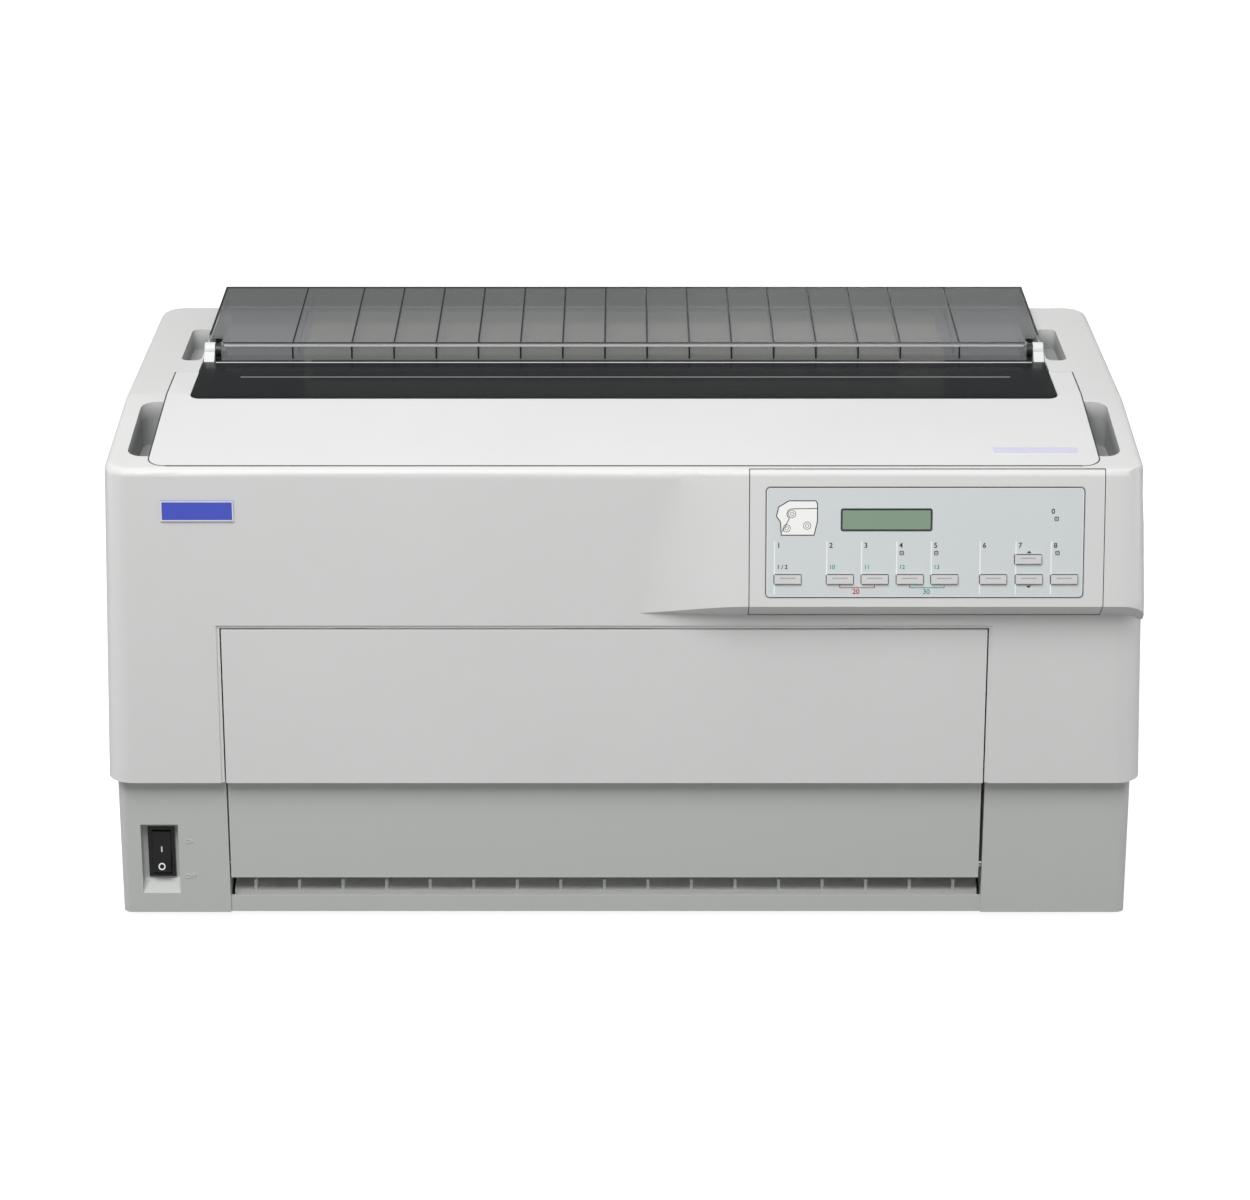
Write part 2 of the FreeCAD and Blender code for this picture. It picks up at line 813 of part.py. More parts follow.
def model_plate():
    front = roof_height(plate_front_y)
    rear = roof_height(plate_rear_y)
    points = [(plate_front_y, front), (plate_rear_y, rear), (plate_rear_y, rear + plate_thick),
              (plate_front_y, front + plate_thick)]
    return prism_x(points, plate_left, plate_right)


def base_tray():
    body = rounded_box(-base_half, base_half, base_front, base_rear, base_bottom, housing_bottom,
                       base_corner)
    room = rounded_box(-base_half + base_wall, base_half - base_wall, base_front + base_wall,
                       base_rear - base_wall, base_deck, housing_bottom + over, base_corner - base_wall)
    body = body.cut(room)
    body = body.cut(box(bay_left, bay_right, base_front - over, base_front + base_wall + over,
                        bar_top, housing_bottom + over))
    body = body.cut(box(bay_left, bay_right, base_front - over, base_front + base_wall / 2,
                        base_bottom - over,
                        housing_bottom))
    cheeks = [box(bay_left - base_wall, bay_left, base_front, base_front + bay_depth, base_bottom,
                  housing_bottom),
              box(bay_right, bay_right + base_wall, base_front, base_front + bay_depth, base_bottom,
                  housing_bottom)]
    tub = box(recess_left - base_wall, recess_right + base_wall, base_front,
              base_front + recess_depth + base_wall,
              recess_low_z - base_wall, recess_high_z + base_wall)
    body = body.fuse(cheeks + [tub])
    floor_y = base_front + recess_depth
    body = body.cut(prism_x([(base_front - over, recess_low_z - over / 2), (floor_y, recess_ramp_z),
                             (floor_y, recess_high_z), (base_front - over, recess_high_z)],
                            recess_left, recess_right))
    slot_x = switch_width / 2 - base_wall / 2
    slot_z = switch_height / 2 - base_wall / 2
    body = body.cut(box(switch_centre_x - slot_x, switch_centre_x + slot_x, floor_y - over,
                        floor_y + 2 * over,
                        switch_centre_z - slot_z, switch_centre_z + slot_z))
    body = body.cut(rod_x(door_pivot_y, door_pivot_z, door_pin_radius, bay_left - base_wall - over,
                          bay_right + base_wall + over))
    body = body.cut(box(inlet_x - inlet_width / 2, inlet_x + inlet_width / 2, base_rear - 2 * over,
                        base_rear + over, inlet_z - inlet_height / 2, inlet_z + inlet_height / 2))
    for x, width in port_places:
        body = body.cut(box(x - width / 2, x + width / 2, base_rear - 2 * over, base_rear + over,
                            board_height + board_thick, board_height + board_thick + port_height))
    return body.cut(box(rear_slot_left, rear_slot_right, base_rear - 2 * over, base_rear + over,
                        rear_slot_low, rear_slot_high))


rear_slot_left = paper_centre - platen_half_length
rear_slot_right = paper_centre + platen_half_length


def rubber_feet():
    feet = []
    for x in (-base_half + foot_inset, base_half - foot_inset):
        for y in (base_front + foot_inset, base_rear - foot_inset):
            foot = rod_z(x, y, foot_radius, 0, base_bottom)
            low = [edge for edge in foot.Edges if edge.CenterOfMass.z < foot_round]
            feet.append(foot.makeFillet(foot_round, low))
    return Part.makeCompound(feet)


switch_face_y = base_front + recess_depth - switch_flange
rocker_axis_y = base_front + recess_depth + rocker_axis_depth


def power_switch_body():
    half = switch_width / 2
    tall = switch_height / 2
    floor_y = base_front + recess_depth
    slot_x = half - base_wall / 2
    slot_z = tall - base_wall / 2
    body = box(switch_centre_x - half, switch_centre_x + half, switch_face_y, floor_y,
               switch_centre_z - tall, switch_centre_z + tall)
    body = body.fuse(box(switch_centre_x - slot_x, switch_centre_x + slot_x, floor_y,
                         floor_y + switch_depth,
                         switch_centre_z - slot_z, switch_centre_z + slot_z))
    room_x = rocker_width / 2 + rocker_gap / 2
    room_z = sqrt(rocker_half ** 2 + rocker_front ** 2) + rocker_gap
    body = body.cut(box(switch_centre_x - room_x, switch_centre_x + room_x, switch_face_y - over,
                        rocker_axis_y + 2 * rocker_back, switch_centre_z - room_z,
                        switch_centre_z + room_z))
    reach = rocker_width / 2 + rocker_pin_length
    return body.cut(rod_x(rocker_axis_y, switch_centre_z, rocker_pin_radius + pin_play,
                          switch_centre_x - reach, switch_centre_x + reach))


def power_rocker():
    y = rocker_axis_y
    z = switch_centre_z
    points = [(y - rocker_front, z + rocker_half), (y - rocker_front + rocker_dip, z),
              (y - rocker_front, z - rocker_half), (y, z - rocker_half), (y + rocker_back, z - rocker_back),
              (y + rocker_back, z + rocker_back), (y, z + rocker_half)]
    half = rocker_width / 2
    body = prism_x(points, switch_centre_x - half, switch_centre_x + half)
    reach = half + rocker_pin_length - pin_play
    body = body.fuse(rod_x(y, z, rocker_pin_radius, switch_centre_x - reach, switch_centre_x + reach))
    body.rotate(Vector(switch_centre_x, y, z), Vector(1, 0, 0), -rocker_tilt)
    return body


def ac_inlet():
    half = inlet_width / 2
    tall = inlet_height / 2
    body = box(inlet_x - inlet_flange_width / 2, inlet_x + inlet_flange_width / 2, base_rear,
               base_rear + inlet_flange_thick, inlet_z - inlet_flange_height / 2,
               inlet_z + inlet_flange_height / 2)
    body = body.fuse(box(inlet_x - half, inlet_x + half, base_rear - inlet_depth, base_rear,
                         inlet_z - tall, inlet_z + tall))
    rear = base_rear + inlet_flange_thick
    body = body.cut(box(inlet_x - half + inlet_wall, inlet_x + half - inlet_wall, rear - inlet_cavity_depth,
                        rear + over, inlet_z - tall + inlet_wall, inlet_z + tall - inlet_wall))
    pins = []
    for place in (-1, 0, 1):
        x = inlet_x + place * inlet_pin_pitch
        pins.append(box(x - inlet_pin_width / 2, x + inlet_pin_width / 2,
                        rear - inlet_cavity_depth - inlet_wall,
                        rear - inlet_cavity_depth + inlet_pin_length, inlet_z + inlet_pin_rise,
                        inlet_z + inlet_pin_rise + inlet_pin_height))
    return body.fuse(pins)


def interface_ports():
    ports = []
    low = board_height + board_thick
    for x, width in port_places:
        half = width / 2
        port = box(x - half, x + half, base_rear - port_depth, base_rear, low, low + port_height)
        room = box(x - half + port_wall, x + half - port_wall, base_rear - port_cavity_depth,
                   base_rear + over,
                   low + port_wall, low + port_height - port_wall)
        middle = low + port_height / 2
        tongue = box(x - half + 2 * port_tongue, x + half - 2 * port_tongue,
                     base_rear - port_cavity_depth - over,
                     base_rear - port_wall, middle - port_tongue / 2, middle + port_tongue / 2)
        ports.append(port.cut(room).fuse(tongue))
    return Part.makeCompound(ports)


def window_plan(grow, low_z, high_z):
    return rounded_box(-window_half - grow, window_half + grow, window_front - grow,
                       window_rear + 2 * window_corner, low_z, high_z, window_corner)


def top_cover():
    low_z = roof_front_z - 2 * roof_round
    plan = rounded_box(-cover_half, cover_half, cover_front, cover_strip_rear + 2 * cover_corner, low_z,
                       shell_sky, cover_corner)
    plan = plan.common(box(-cover_half, cover_half, cover_front, cover_strip_rear, low_z, shell_sky))
    skin = plan.common(under_roof(0, 0)).cut(under_roof(cover_wall, 0))
    skin = skin.cut(window_plan(window_gap, low_z, shell_sky))
    deep = cover_wall + window_ledge_thick
    ledge = window_plan(window_ledge / 2, low_z, shell_sky)
    ledge = ledge.cut(window_plan(-window_ledge, low_z, shell_sky))
    ledge = ledge.common(under_roof(cover_wall, 0)).cut(under_roof(deep, 0))
    ledge = ledge.common(box(-cover_half, cover_half, cover_front, arm_foot_front - seam, low_z, shell_sky))
    return skin.fuse(ledge)


def cover_window():
    low_z = roof_front_z - 2 * roof_round
    plan = window_plan(0, low_z, shell_sky)
    plan = plan.common(box(-window_half, window_half, window_front, window_rear, low_z, shell_sky))
    pane = plan.common(under_roof(0, 0)).cut(under_roof(window_thick, 0))
    lip = box(-arm_inner + seam, arm_inner - seam, window_rear - window_thick, window_rear,
              roof_z - window_lip_drop, roof_z - window_thick / 2)
    pane = pane.fuse(lip).removeSplitter()
    crest = [edge for edge in pane.Edges
             if edge.CenterOfMass.y > window_rear - pin_play and edge.CenterOfMass.z > roof_z - pin_play]
    return pane.makeFillet(window_thick / 2, crest)


def cover_arm():
    """Arm on the right: foot under the cover's side strip, bar, and a round end with the hinge pin"""
    top = roof_z - cover_wall
    foot = box(arm_inner, arm_foot_outer, arm_foot_front, cover_strip_rear, top - cover_wall, top)
    rise_y = window_rear
    points = [(arm_foot_front, arm_bar_bottom), (arm_foot_front, top), (rise_y, top),
              (hinge_y - arm_boss_radius, hinge_z), (hinge_y, hinge_z),
              (hinge_y, hinge_z - arm_boss_radius),
              (rise_y + arm_boss_radius, arm_bar_bottom)]
    bar = prism_x(points, arm_inner, arm_outer)
    boss = rod_x(hinge_y, hinge_z, arm_boss_radius, arm_inner, arm_outer)
    pin = rod_x(hinge_y, hinge_z, hinge_pin_radius, ear_inner - seam, arm_inner + seam)
    return bar.fuse([foot, boss, pin])


def hinge_bracket():
    """Bracket on the right of the deck that carries the hinge pin"""
    points = [(hinge_y, hinge_z - bracket_ear_radius), (bracket_foot_front, deck_top),
              (bracket_foot_rear, deck_top), (bracket_foot_rear, deck_top + bracket_ear_radius),
              (bracket_foot_front, hinge_z + pin_play), (hinge_y, hinge_z + bracket_ear_radius)]
    body = prism_x(points, bracket_inner, bracket_outer)
    body = body.fuse(rod_x(hinge_y, hinge_z, bracket_ear_radius, bracket_inner, bracket_outer))
    return body.cut(rod_x(hinge_y, hinge_z, hinge_pin_radius + pin_play, bracket_inner - over,
                          bracket_outer + over))


def lid_height(y):
    return lid_front_z + (lid_rear_z - lid_front_z) * (y - lid_front) / (lid_rear - lid_front)


def lid_rib_places():
    """Ribs on the pitch of the front guide, with one more on each side"""
    inner = rib_places(lid_rib_margin - lid_half, lid_half - lid_rib_margin)
    return [inner[0] - rib_pitch * outer_rib_share] + inner + [inner[-1] + rib_pitch * outer_rib_share]


def rear_lid():
    top = prism_x([(lid_front, lid_front_z), (lid_rear, lid_rear_z), (lid_rear, lid_rear_z - lid_thick),
                   (lid_front, lid_front_z - lid_thick)], -lid_half, lid_half)
    for side in (-1, 1):
        near = min(side * ear_outer, side * (lid_half + over))
        far = max(side * ear_outer, side * (lid_half + over))
        top = top.cut(box(near, far, lid_front - over, lid_notch_rear, lid_flange_bottom,
                          lid_rear_z + over))
    face = box(-ear_outer, ear_outer, lid_front, lid_front + lid_thick, lid_face_bottom,
               lid_front_z - lid_thick / 2)
    body = top.fuse(face).removeSplitter()
    crest = [edge for edge in body.Edges
             if edge.CenterOfMass.y < lid_front + pin_play and edge.CenterOfMass.z > lid_front_z - pin_play]
    body = body.makeFillet(lid_thick / 2, crest)
    rib_rear = lid_rear - lid_rib_rear_margin
    ribs = []
    for x in lid_rib_places():
        half = lid_rib_thick / 2
        points = [(lid_front + lid_thick / 2, lid_face_bottom + seam),
                  (lid_front + 2 * lid_thick, lid_face_bottom + seam),
                  (lid_front + 4 * lid_thick, lid_rib_bottom), (rib_rear, lid_rib_bottom),
                  (rib_rear, lid_height(rib_rear) - lid_thick / 2),
                  (lid_front + lid_thick / 2, lid_front_z - lid_thick)]
        ribs.append(prism_x(points, x - half, x + half))
    for side in (-1, 1):
        near = min(side * (lid_half - lid_flange_thick), side * lid_half)
        points = [(lid_notch_rear, lid_flange_bottom), (rib_rear, lid_flange_bottom),
                  (rib_rear, lid_height(rib_rear) - lid_thick / 2),
                  (lid_notch_rear, lid_height(lid_notch_rear) - lid_thick / 2)]
        ribs.append(prism_x(points, near, near + lid_flange_thick))
        low = min(side * ear_inner, side * ear_outer)
        ear = [(lid_front + lid_thick / 2, lid_face_bottom + seam),
               (hinge_y + bracket_ear_radius, lid_face_bottom + seam),
               (lid_notch_rear + over, lid_rib_bottom),
               (lid_notch_rear + over, lid_height(lid_notch_rear) - lid_thick / 2),
               (lid_front + lid_thick / 2, lid_front_z - lid_thick)]
        ribs.append(prism_x(ear, low, low + ear_outer - ear_inner))
    body = body.fuse(ribs)
    return body.cut(rod_x(hinge_y, hinge_z, hinge_pin_radius + pin_play, -lid_half, lid_half))


def rear_deck():
    return box(-deck_half, deck_half, deck_front, deck_rear, deck_top - deck_thick, deck_top)


def rear_paper_guide():
    top = deck_top + rear_guide_thick
    front = deck_front - rear_guide_lip
    plate = box(-rear_guide_half, rear_guide_half, front, deck_rear - over, deck_top, top)
    lip = box(-rear_guide_half, rear_guide_half, front, deck_front - seam, deck_top - rear_guide_drop, top)
    body = plate.fuse(lip).removeSplitter()
    crest = [edge for edge in body.Edges
             if edge.CenterOfMass.y < front + pin_play and edge.CenterOfMass.z > top - pin_play]
    return body.makeFillet(rear_guide_thick, crest)


def tear_bar():
    front = deck_front - rear_guide_lip - tear_bar_thick
    high = deck_top - rear_guide_thick
    return box(paper_centre - tear_bar_half, paper_centre + tear_bar_half, front, front + tear_bar_thick,
               high - tear_bar_height, high)


def front_door():
    region = box(door_left, door_right, 2 * housing_front, 0, housing_bottom, door_top)
    upper = plain_casing.common(region).cut(casing_block(door_wall, housing_bottom - over))
    ledge = box(door_left, door_right, housing_front + door_wall / 2, base_front + door_wall,
                housing_bottom, housing_bottom + door_wall)
    lower = box(door_left, door_right, base_front, base_front + door_wall, door_bottom,
                housing_bottom + door_wall)
    ears = []
    for x in (door_left + seam, door_right - seam - door_ear_thick):
        ear = rod_x(door_pivot_y, door_pivot_z, door_ear_radius, x, x + door_ear_thick)
        web = box(x, x + door_ear_thick, base_front + door_wall / 2, door_pivot_y,
                  door_pivot_z - door_ear_radius, door_pivot_z + door_ear_radius)
        ears += [ear, web]
    body = upper.fuse([ledge, lower] + ears)
    return body.cut(rod_x(door_pivot_y, door_pivot_z, door_pin_radius + pin_play, door_left - over,
                          door_right + over))


def door_pins():
    left = rod_x(door_pivot_y, door_pivot_z, door_pin_radius, bay_left - base_wall,
                 door_left + seam + door_ear_thick)
    right = rod_x(door_pivot_y, door_pivot_z, door_pin_radius, door_right - seam - door_ear_thick,
                  bay_right + base_wall)
    return Part.makeCompound([left, right])


def front_paper_guide():
    """Arched sheet on the base's floor, with a rib every rib_pitch"""
    points = [(guide_front, base_deck), (guide_front, bar_top), (guide_rear, guide_rear_z),
              (guide_rear, base_deck), (guide_rear - guide_thick, base_deck),
              (guide_rear - guide_thick, guide_rear_z - 2 * guide_thick),
              (guide_front + guide_thick, bar_top - guide_thick), (guide_front + guide_thick, base_deck)]
    sheet = prism_x(points, guide_left, guide_right)
    ribs = []
    for x in rib_places(guide_left + rib_thick, guide_right - rib_thick):
        rib = [(guide_front, bar_top - guide_thick), (guide_front, bar_top + rib_height),
               (guide_rear, guide_rear_z + rib_height / 2), (guide_rear, guide_rear_z - guide_thick)]
        ribs.append(prism_x(rib, x - rib_thick / 2, x + rib_thick / 2))
    return sheet.fuse(ribs)


def frame_holes():
    play = pin_play
    return [rod_x(platen_y, platen_z, platen_shaft_radius + play, -housing_width, housing_width),
            rod_x(rod_front_y, rod_front_z, rod_front_radius, -housing_width, housing_width),
            rod_x(rod_rear_y, rod_rear_z, rod_rear_radius, -housing_width, housing_width),
            rod_x(front_shaft_y, front_shaft_z, tractor_shaft_radius + play, -housing_width, housing_width),
            rod_x(rear_shaft_y, rear_shaft_z, tractor_shaft_radius + play, -housing_width, housing_width),
            rod_x(front_shaft_y, front_rod_z, tractor_rod_radius, -housing_width, housing_width),
            rod_x(rear_rod_y, rear_shaft_z, tractor_rod_radius, -housing_width, housing_width)]


def side_plate(x0, foot_x0):
    points = [(frame_front_low, base_deck), (frame_rear, base_deck), (frame_rear, frame_rear_top),
              (frame_slope_y, frame_top), (frame_front_high, frame_top),
              (frame_front_high, frame_knee_high),
              (frame_front_low, frame_knee_low)]
    plate = prism_x(points, x0, x0 + frame_thick)
    foot = box(foot_x0, foot_x0 + frame_foot_width + frame_thick, frame_front_low, frame_rear, base_deck,
               base_deck + frame_thick)
    return plate.fuse(foot)


def side_frame_left():
    plate = side_plate(frame_left - frame_thick, frame_left - frame_thick - frame_foot_width)
    shelf = box(frame_left - frame_thick / 2, frame_left + shelf_reach, shelf_front, shelf_rear,
                shelf_bottom,
                shelf_bottom + frame_thick)
    post = rod_z(idler_pulley_x, pulley_y, motor_shaft_radius, shelf_bottom + frame_thick / 2,
                 pulley_bottom + pulley_height)
    return plate.cut(Part.makeCompound(frame_holes())).fuse([shelf, post])


def side_frame_right():
    plate = side_plate(frame_right, frame_right)
    shelf = box(frame_right - shelf_reach, frame_right + frame_thick / 2, shelf_front, shelf_rear,
                shelf_bottom,
                shelf_bottom + frame_thick)
    shelf = shelf.cut(rod_z(drive_pulley_x, pulley_y, 2 * motor_shaft_radius, 0, housing_width))
    half = motor_size / 2 + motor_plate_margin
    low = pinion_z - half
    web = box(frame_right + frame_thick / 2, motor_plate_x + frame_thick, pinion_y - half, pinion_y + half,
              low - frame_thick, low)
    sheet = box(motor_plate_x, motor_plate_x + frame_thick, pinion_y - half, pinion_y + half,
                low - frame_thick, pinion_z + motor_size / 2)
    sheet = sheet.cut(rod_x(pinion_y, pinion_z, 2 * motor_shaft_radius, 0, housing_width))
    return plate.cut(Part.makeCompound(frame_holes())).fuse([shelf, web, sheet])


def platen_roller():
    body = rod_x(platen_y, platen_z, platen_radius, paper_centre - platen_half_length,
                 paper_centre + platen_half_length)
    return body.cut(rod_x(platen_y, platen_z, platen_shaft_radius, -housing_width, housing_width))


def platen_shaft():
    return rod_x(platen_y, platen_z, platen_shaft_radius, frame_left - platen_shaft_reach,
                 gear_near + gear_width + gear_side_gap)


def gear(y, z, teeth, bore, start_turn):
    """Spur gear about X: straight-sided teeth on a root circle"""
    pitch = gear_module * teeth / 2
    root = pitch - dedendum_share * gear_module
    tip = pitch + addendum_share * gear_module
    step = 2 * pi / teeth
    points = []
    for tooth in range(teeth):
        middle = start_turn + tooth * step
        for radius, part in ((root, -0.5), (root, -tooth_share), (tip, -tooth_tip_share),
                             (tip, tooth_tip_share), (root, tooth_share)):
            angle = middle + part * step
            points.append((y + radius * cos(angle), z + radius * sin(angle)))
    body = prism_x(points, gear_near, gear_near + gear_width)
    return body.cut(rod_x(y, z, bore, 0, housing_width))


def platen_gear():
    return gear(platen_y, platen_z, platen_teeth, platen_shaft_radius, radians(pinion_angle))


def motor_pinion():
    turn = radians(pinion_angle) + pi + pi / pinion_teeth
    wheel = gear(pinion_y, pinion_z, pinion_teeth, motor_shaft_radius / 2, turn)
    shaft = rod_x(pinion_y, pinion_z, motor_shaft_radius, gear_near, motor_plate_x + motor_bore_depth)
    return wheel.fuse(shaft)


def motor_x(x0, y, z, bore):
    """Square stepping motor with its face at x0 and its axis along X"""
    half = motor_size / 2
    body = rounded_box(y - half, y + half, z - half, z + half, 0, motor_length, motor_corner)
    body.rotate(Vector(0, 0, 0), Vector(1, 1, 1), 120)
    body.translate(Vector(x0, 0, 0))
    return body.cut(rod_x(y, z, bore, x0 - over, x0 + motor_bore_depth + over))


def feed_motors():
    """Three alike: one behind the pinion, one on each tractor shaft"""
    face = frame_right + frame_thick
    bore = tractor_shaft_radius + pin_play
    pinion_face = motor_plate_x + frame_thick
    return Part.makeCompound([motor_x(pinion_face, pinion_y, pinion_z, motor_shaft_radius + pin_play),
                              motor_x(face, front_shaft_y, front_shaft_z, bore),
                              motor_x(face, rear_shaft_y, rear_shaft_z, bore)])


def tractor_shaft(y, z):
    return rod_x(y, z, tractor_shaft_radius, frame_left - 2 * over,
                 frame_right + frame_thick + motor_bore_depth)


def tractor_rods():
    low = frame_left - frame_thick
    high = frame_right + frame_thick
    return Part.makeCompound([rod_x(front_shaft_y, front_rod_z, tractor_rod_radius, low, high),
                              rod_x(rear_rod_y, rear_shaft_z, tractor_rod_radius, low, high)])


def guide_rods():
    low = frame_left - frame_thick
    high = frame_right + frame_thick
    return Part.makeCompound([rod_x(rod_front_y, rod_front_z, rod_front_radius, low, high),
                              rod_x(rod_rear_y, rod_rear_z, rod_rear_radius, low, high)])


def tractor(x, shaft_y, shaft_z, rod_y_place, rod_z_place, pins_to):
    """Sheet-feeding unit: a rounded block along shaft and rod, with feed pins on one face"""
    low_y = min(shaft_y, rod_y_place) - tractor_round
    high_y = max(shaft_y, rod_y_place) + tractor_round
    low_z = min(shaft_z, rod_z_place) - tractor_round
    high_z = max(shaft_z, rod_z_place) + tractor_round
    half = tractor_half_width
    body = rounded_box(low_y, high_y, low_z, high_z, 0, 2 * half, tractor_round - seam)
    body.rotate(Vector(0, 0, 0), Vector(1, 1, 1), 120)
    body.translate(Vector(x - half, 0, 0))
    middle_y = (low_y + high_y) / 2
    middle_z = (low_z + high_z) / 2
    pins = []
    for step in range(tractor_pin_count):
        shift = (step - (tractor_pin_count - 1) / 2) * tractor_pin_pitch
        if pins_to == "front":
            pins.append(rod_y(x, middle_z + shift, tractor_pin_radius, low_y - tractor_pin_height,
                              middle_y))
        else:
            pins.append(rod_z(x, middle_y + shift, tractor_pin_radius, middle_z,
                              high_z + tractor_pin_height))
    body = body.fuse(pins)
    body = body.cut(rod_x(shaft_y, shaft_z, tractor_shaft_radius + pin_play, -housing_width, housing_width))
    return body.cut(rod_x(rod_y_place, rod_z_place, tractor_rod_radius + pin_play, -housing_width,
                          housing_width))


belt_ride = pulley_radius + belt_gap


def carriage():
    x0 = paper_centre - carriage_half
    x1 = paper_centre + carriage_half
    body = box(x0, x1, carriage_front, carriage_rear, carriage_bottom, carriage_top)
    body = body.cut(rod_x(rod_front_y, rod_front_z, rod_front_radius + pin_play, x0 - over, x1 + over))
    body = body.cut(rod_x(rod_rear_y, rod_rear_z, rod_rear_radius + pin_play, x0 - over, x1 + over))
    strand = pulley_y + belt_ride
    foot = box(paper_centre - foot_half, paper_centre + foot_half, strand - foot_wall - belt_gap,
               strand + belt_thick + belt_gap + foot_wall, belt_bottom, carriage_bottom)
    foot = foot.cut(box(x0, x1, strand - belt_gap, strand + belt_thick + belt_gap, 0,
                        belt_bottom + belt_height + belt_gap))
    return body.fuse(foot)


nose_y = platen_y - platen_radius - 2 * ribbon_gap - ribbon_thick


def print_head():
    middle = (carriage_rear + nose_y) / 2
    body = box(paper_centre - head_half, paper_centre + head_half, carriage_rear, middle, head_bottom,
               head_top)
    nose = box(paper_centre - head_nose_half, paper_centre + head_nose_half, middle, nose_y,
               head_nose_low, head_nose_high)
    body = body.fuse(nose)
    slot = (head_top - head_bottom) / (4 * head_fins)
    for step in range(head_fins):
        low = head_bottom + slot * (4 * step + 1)
        body = body.cut(box(paper_centre - head_half - over, paper_centre - head_nose_half - slot,
                            carriage_rear + slot, middle, low, low + slot))
        body = body.cut(box(paper_centre + head_nose_half + slot, paper_centre + head_half + over,
                            carriage_rear + slot, middle, low, low + slot))
    return body


def ribbon_cartridge():
    low = frame_left - 2 * frame_thick
    high = frame_right + 2 * frame_thick
    body = rounded_box(low, high, cartridge_front, cartridge_rear, frame_top, frame_top + cartridge_height,
                       pocket_corner)
    arms = []
    for x in (frame_left + cartridge_arm_inset, frame_right - cartridge_arm_inset - cartridge_arm):
        arms.append(box(x, x + cartridge_arm, cartridge_rear - cartridge_arm / 2,
                        nose_y + ribbon_gap + ribbon_thick, ribbon_low - seam, frame_top + seam))
    return body.fuse(arms)


def inked_ribbon():
    x0 = frame_left + cartridge_arm_inset + cartridge_arm
    x1 = frame_right - cartridge_arm_inset - cartridge_arm
    return box(x0, x1, nose_y + ribbon_gap, nose_y + ribbon_gap + ribbon_thick, ribbon_low, ribbon_high)


def pulley(x, bore):
    wheel = rod_z(x, pulley_y, pulley_radius, pulley_bottom, pulley_bottom + pulley_height)
    return wheel.cut(rod_z(x, pulley_y, bore, 0, housing_width)) if bore else wheel


def drive_pulley():
    shaft = rod_z(drive_pulley_x, pulley_y, motor_shaft_radius, shelf_bottom - motor_bore_depth,
                  pulley_bottom)
    return pulley(drive_pulley_x, 0).fuse(shaft)


def carriage_motor():
    half = motor_size / 2
    body = rounded_box(drive_pulley_x - half, drive_pulley_x + half, pulley_y - half, pulley_y + half,
                       shelf_bottom - motor_length, shelf_bottom, motor_corner)
    return body.cut(rod_z(drive_pulley_x, pulley_y, motor_shaft_radius + pin_play,
                          shelf_bottom - motor_bore_depth - over, shelf_bottom + over))


def carriage_belt():
    outer = belt_ride + belt_thick
    high = belt_bottom + belt_height
    shapes = []
    for radius in (outer, belt_ride):
        ends = [rod_z(idler_pulley_x, pulley_y, radius, belt_bottom, high),
                rod_z(drive_pulley_x, pulley_y, radius, belt_bottom, high)]
        run = box(idler_pulley_x, drive_pulley_x, pulley_y - radius, pulley_y + radius, belt_bottom, high)
        shapes.append(run.fuse(ends))
    return shapes[0].cut(shapes[1])


def power_supply():
    body = box(supply_left, supply_right, supply_front, supply_rear, base_deck, base_deck + supply_height)
    pitch = (supply_rear - supply_front) / (supply_vents + 1)
    inset = (supply_right - supply_left) / 4
    for step in range(supply_vents):
        y = supply_front + pitch * (step + 1)
        body = body.cut(box(supply_left + inset, supply_right - inset, y, y + supply_vent_width,
                            base_deck + supply_height - supply_vent_width,
                            base_deck + supply_height + over))
    return body


def main_board():
    top = board_height + board_thick
    board = box(board_left, board_right, board_front, board_rear, board_height, top)
    legs = []
    for x in (board_left + board_leg, board_right - board_leg):
        for y in (board_front + board_leg, base_rear - port_depth - 2 * over):
            legs.append(rod_z(x, y, board_leg, base_deck, board_height))
    chips = []
    span = board_right - board_left
    depth = board_rear - board_front
    for across, along, size in ((0.3, 0.25, 0.14), (0.7, 0.3, 0.1), (0.35, 0.55, 0.1), (0.7, 0.6, 0.14)):
        x = board_left + span * across
        y = board_front + depth * along
        chips.append(box(x - span * size, x + span * size, y - span * size, y + span * size,
                         top - board_thick / 2, top + chip_height))
    return board.fuse(legs + chips)


save("base_tray", base_tray())
save("rubber_feet", rubber_feet())
save("upper_housing", upper_housing())
save("control_panel_bezel", control_panel_bezel())
save("panel_label", panel_label())
save("lcd_display", lcd_display())
save("panel_board", panel_board())
for name, x, z in button_places:
    save(name, button(x, z))
save("indicator_lamps", indicator_lamps())
save("badge_plate", badge_plate())
save("model_plate", model_plate())
save("power_switch_body", power_switch_body())
save("power_rocker", power_rocker())
save("ac_inlet", ac_inlet())
save("interface_ports", interface_ports())
save("top_cover", top_cover())
save("cover_window", cover_window())
save("cover_arm_right", cover_arm())
save("cover_arm_left", mirrored(cover_arm()))
save("hinge_brackets", Part.makeCompound([hinge_bracket(), mirrored(hinge_bracket())]))
save("rear_lid", rear_lid())
save("rear_deck", rear_deck())
save("rear_paper_guide", rear_paper_guide())
save("tear_bar", tear_bar())
save("front_door", front_door())
save("door_pins", door_pins())
save("front_paper_guide", front_paper_guide())
save("side_frame_left", side_frame_left())
save("side_frame_right", side_frame_right())
save("platen_roller", platen_roller())
save("platen_shaft", platen_shaft())
save("platen_gear", platen_gear())
save("motor_pinion", motor_pinion())
save("feed_motors", feed_motors())
save("guide_rods", guide_rods())
save("carriage", carriage())
save("print_head", print_head())
save("ribbon_cartridge", ribbon_cartridge())
save("inked_ribbon", inked_ribbon())
save("drive_pulley", drive_pulley())
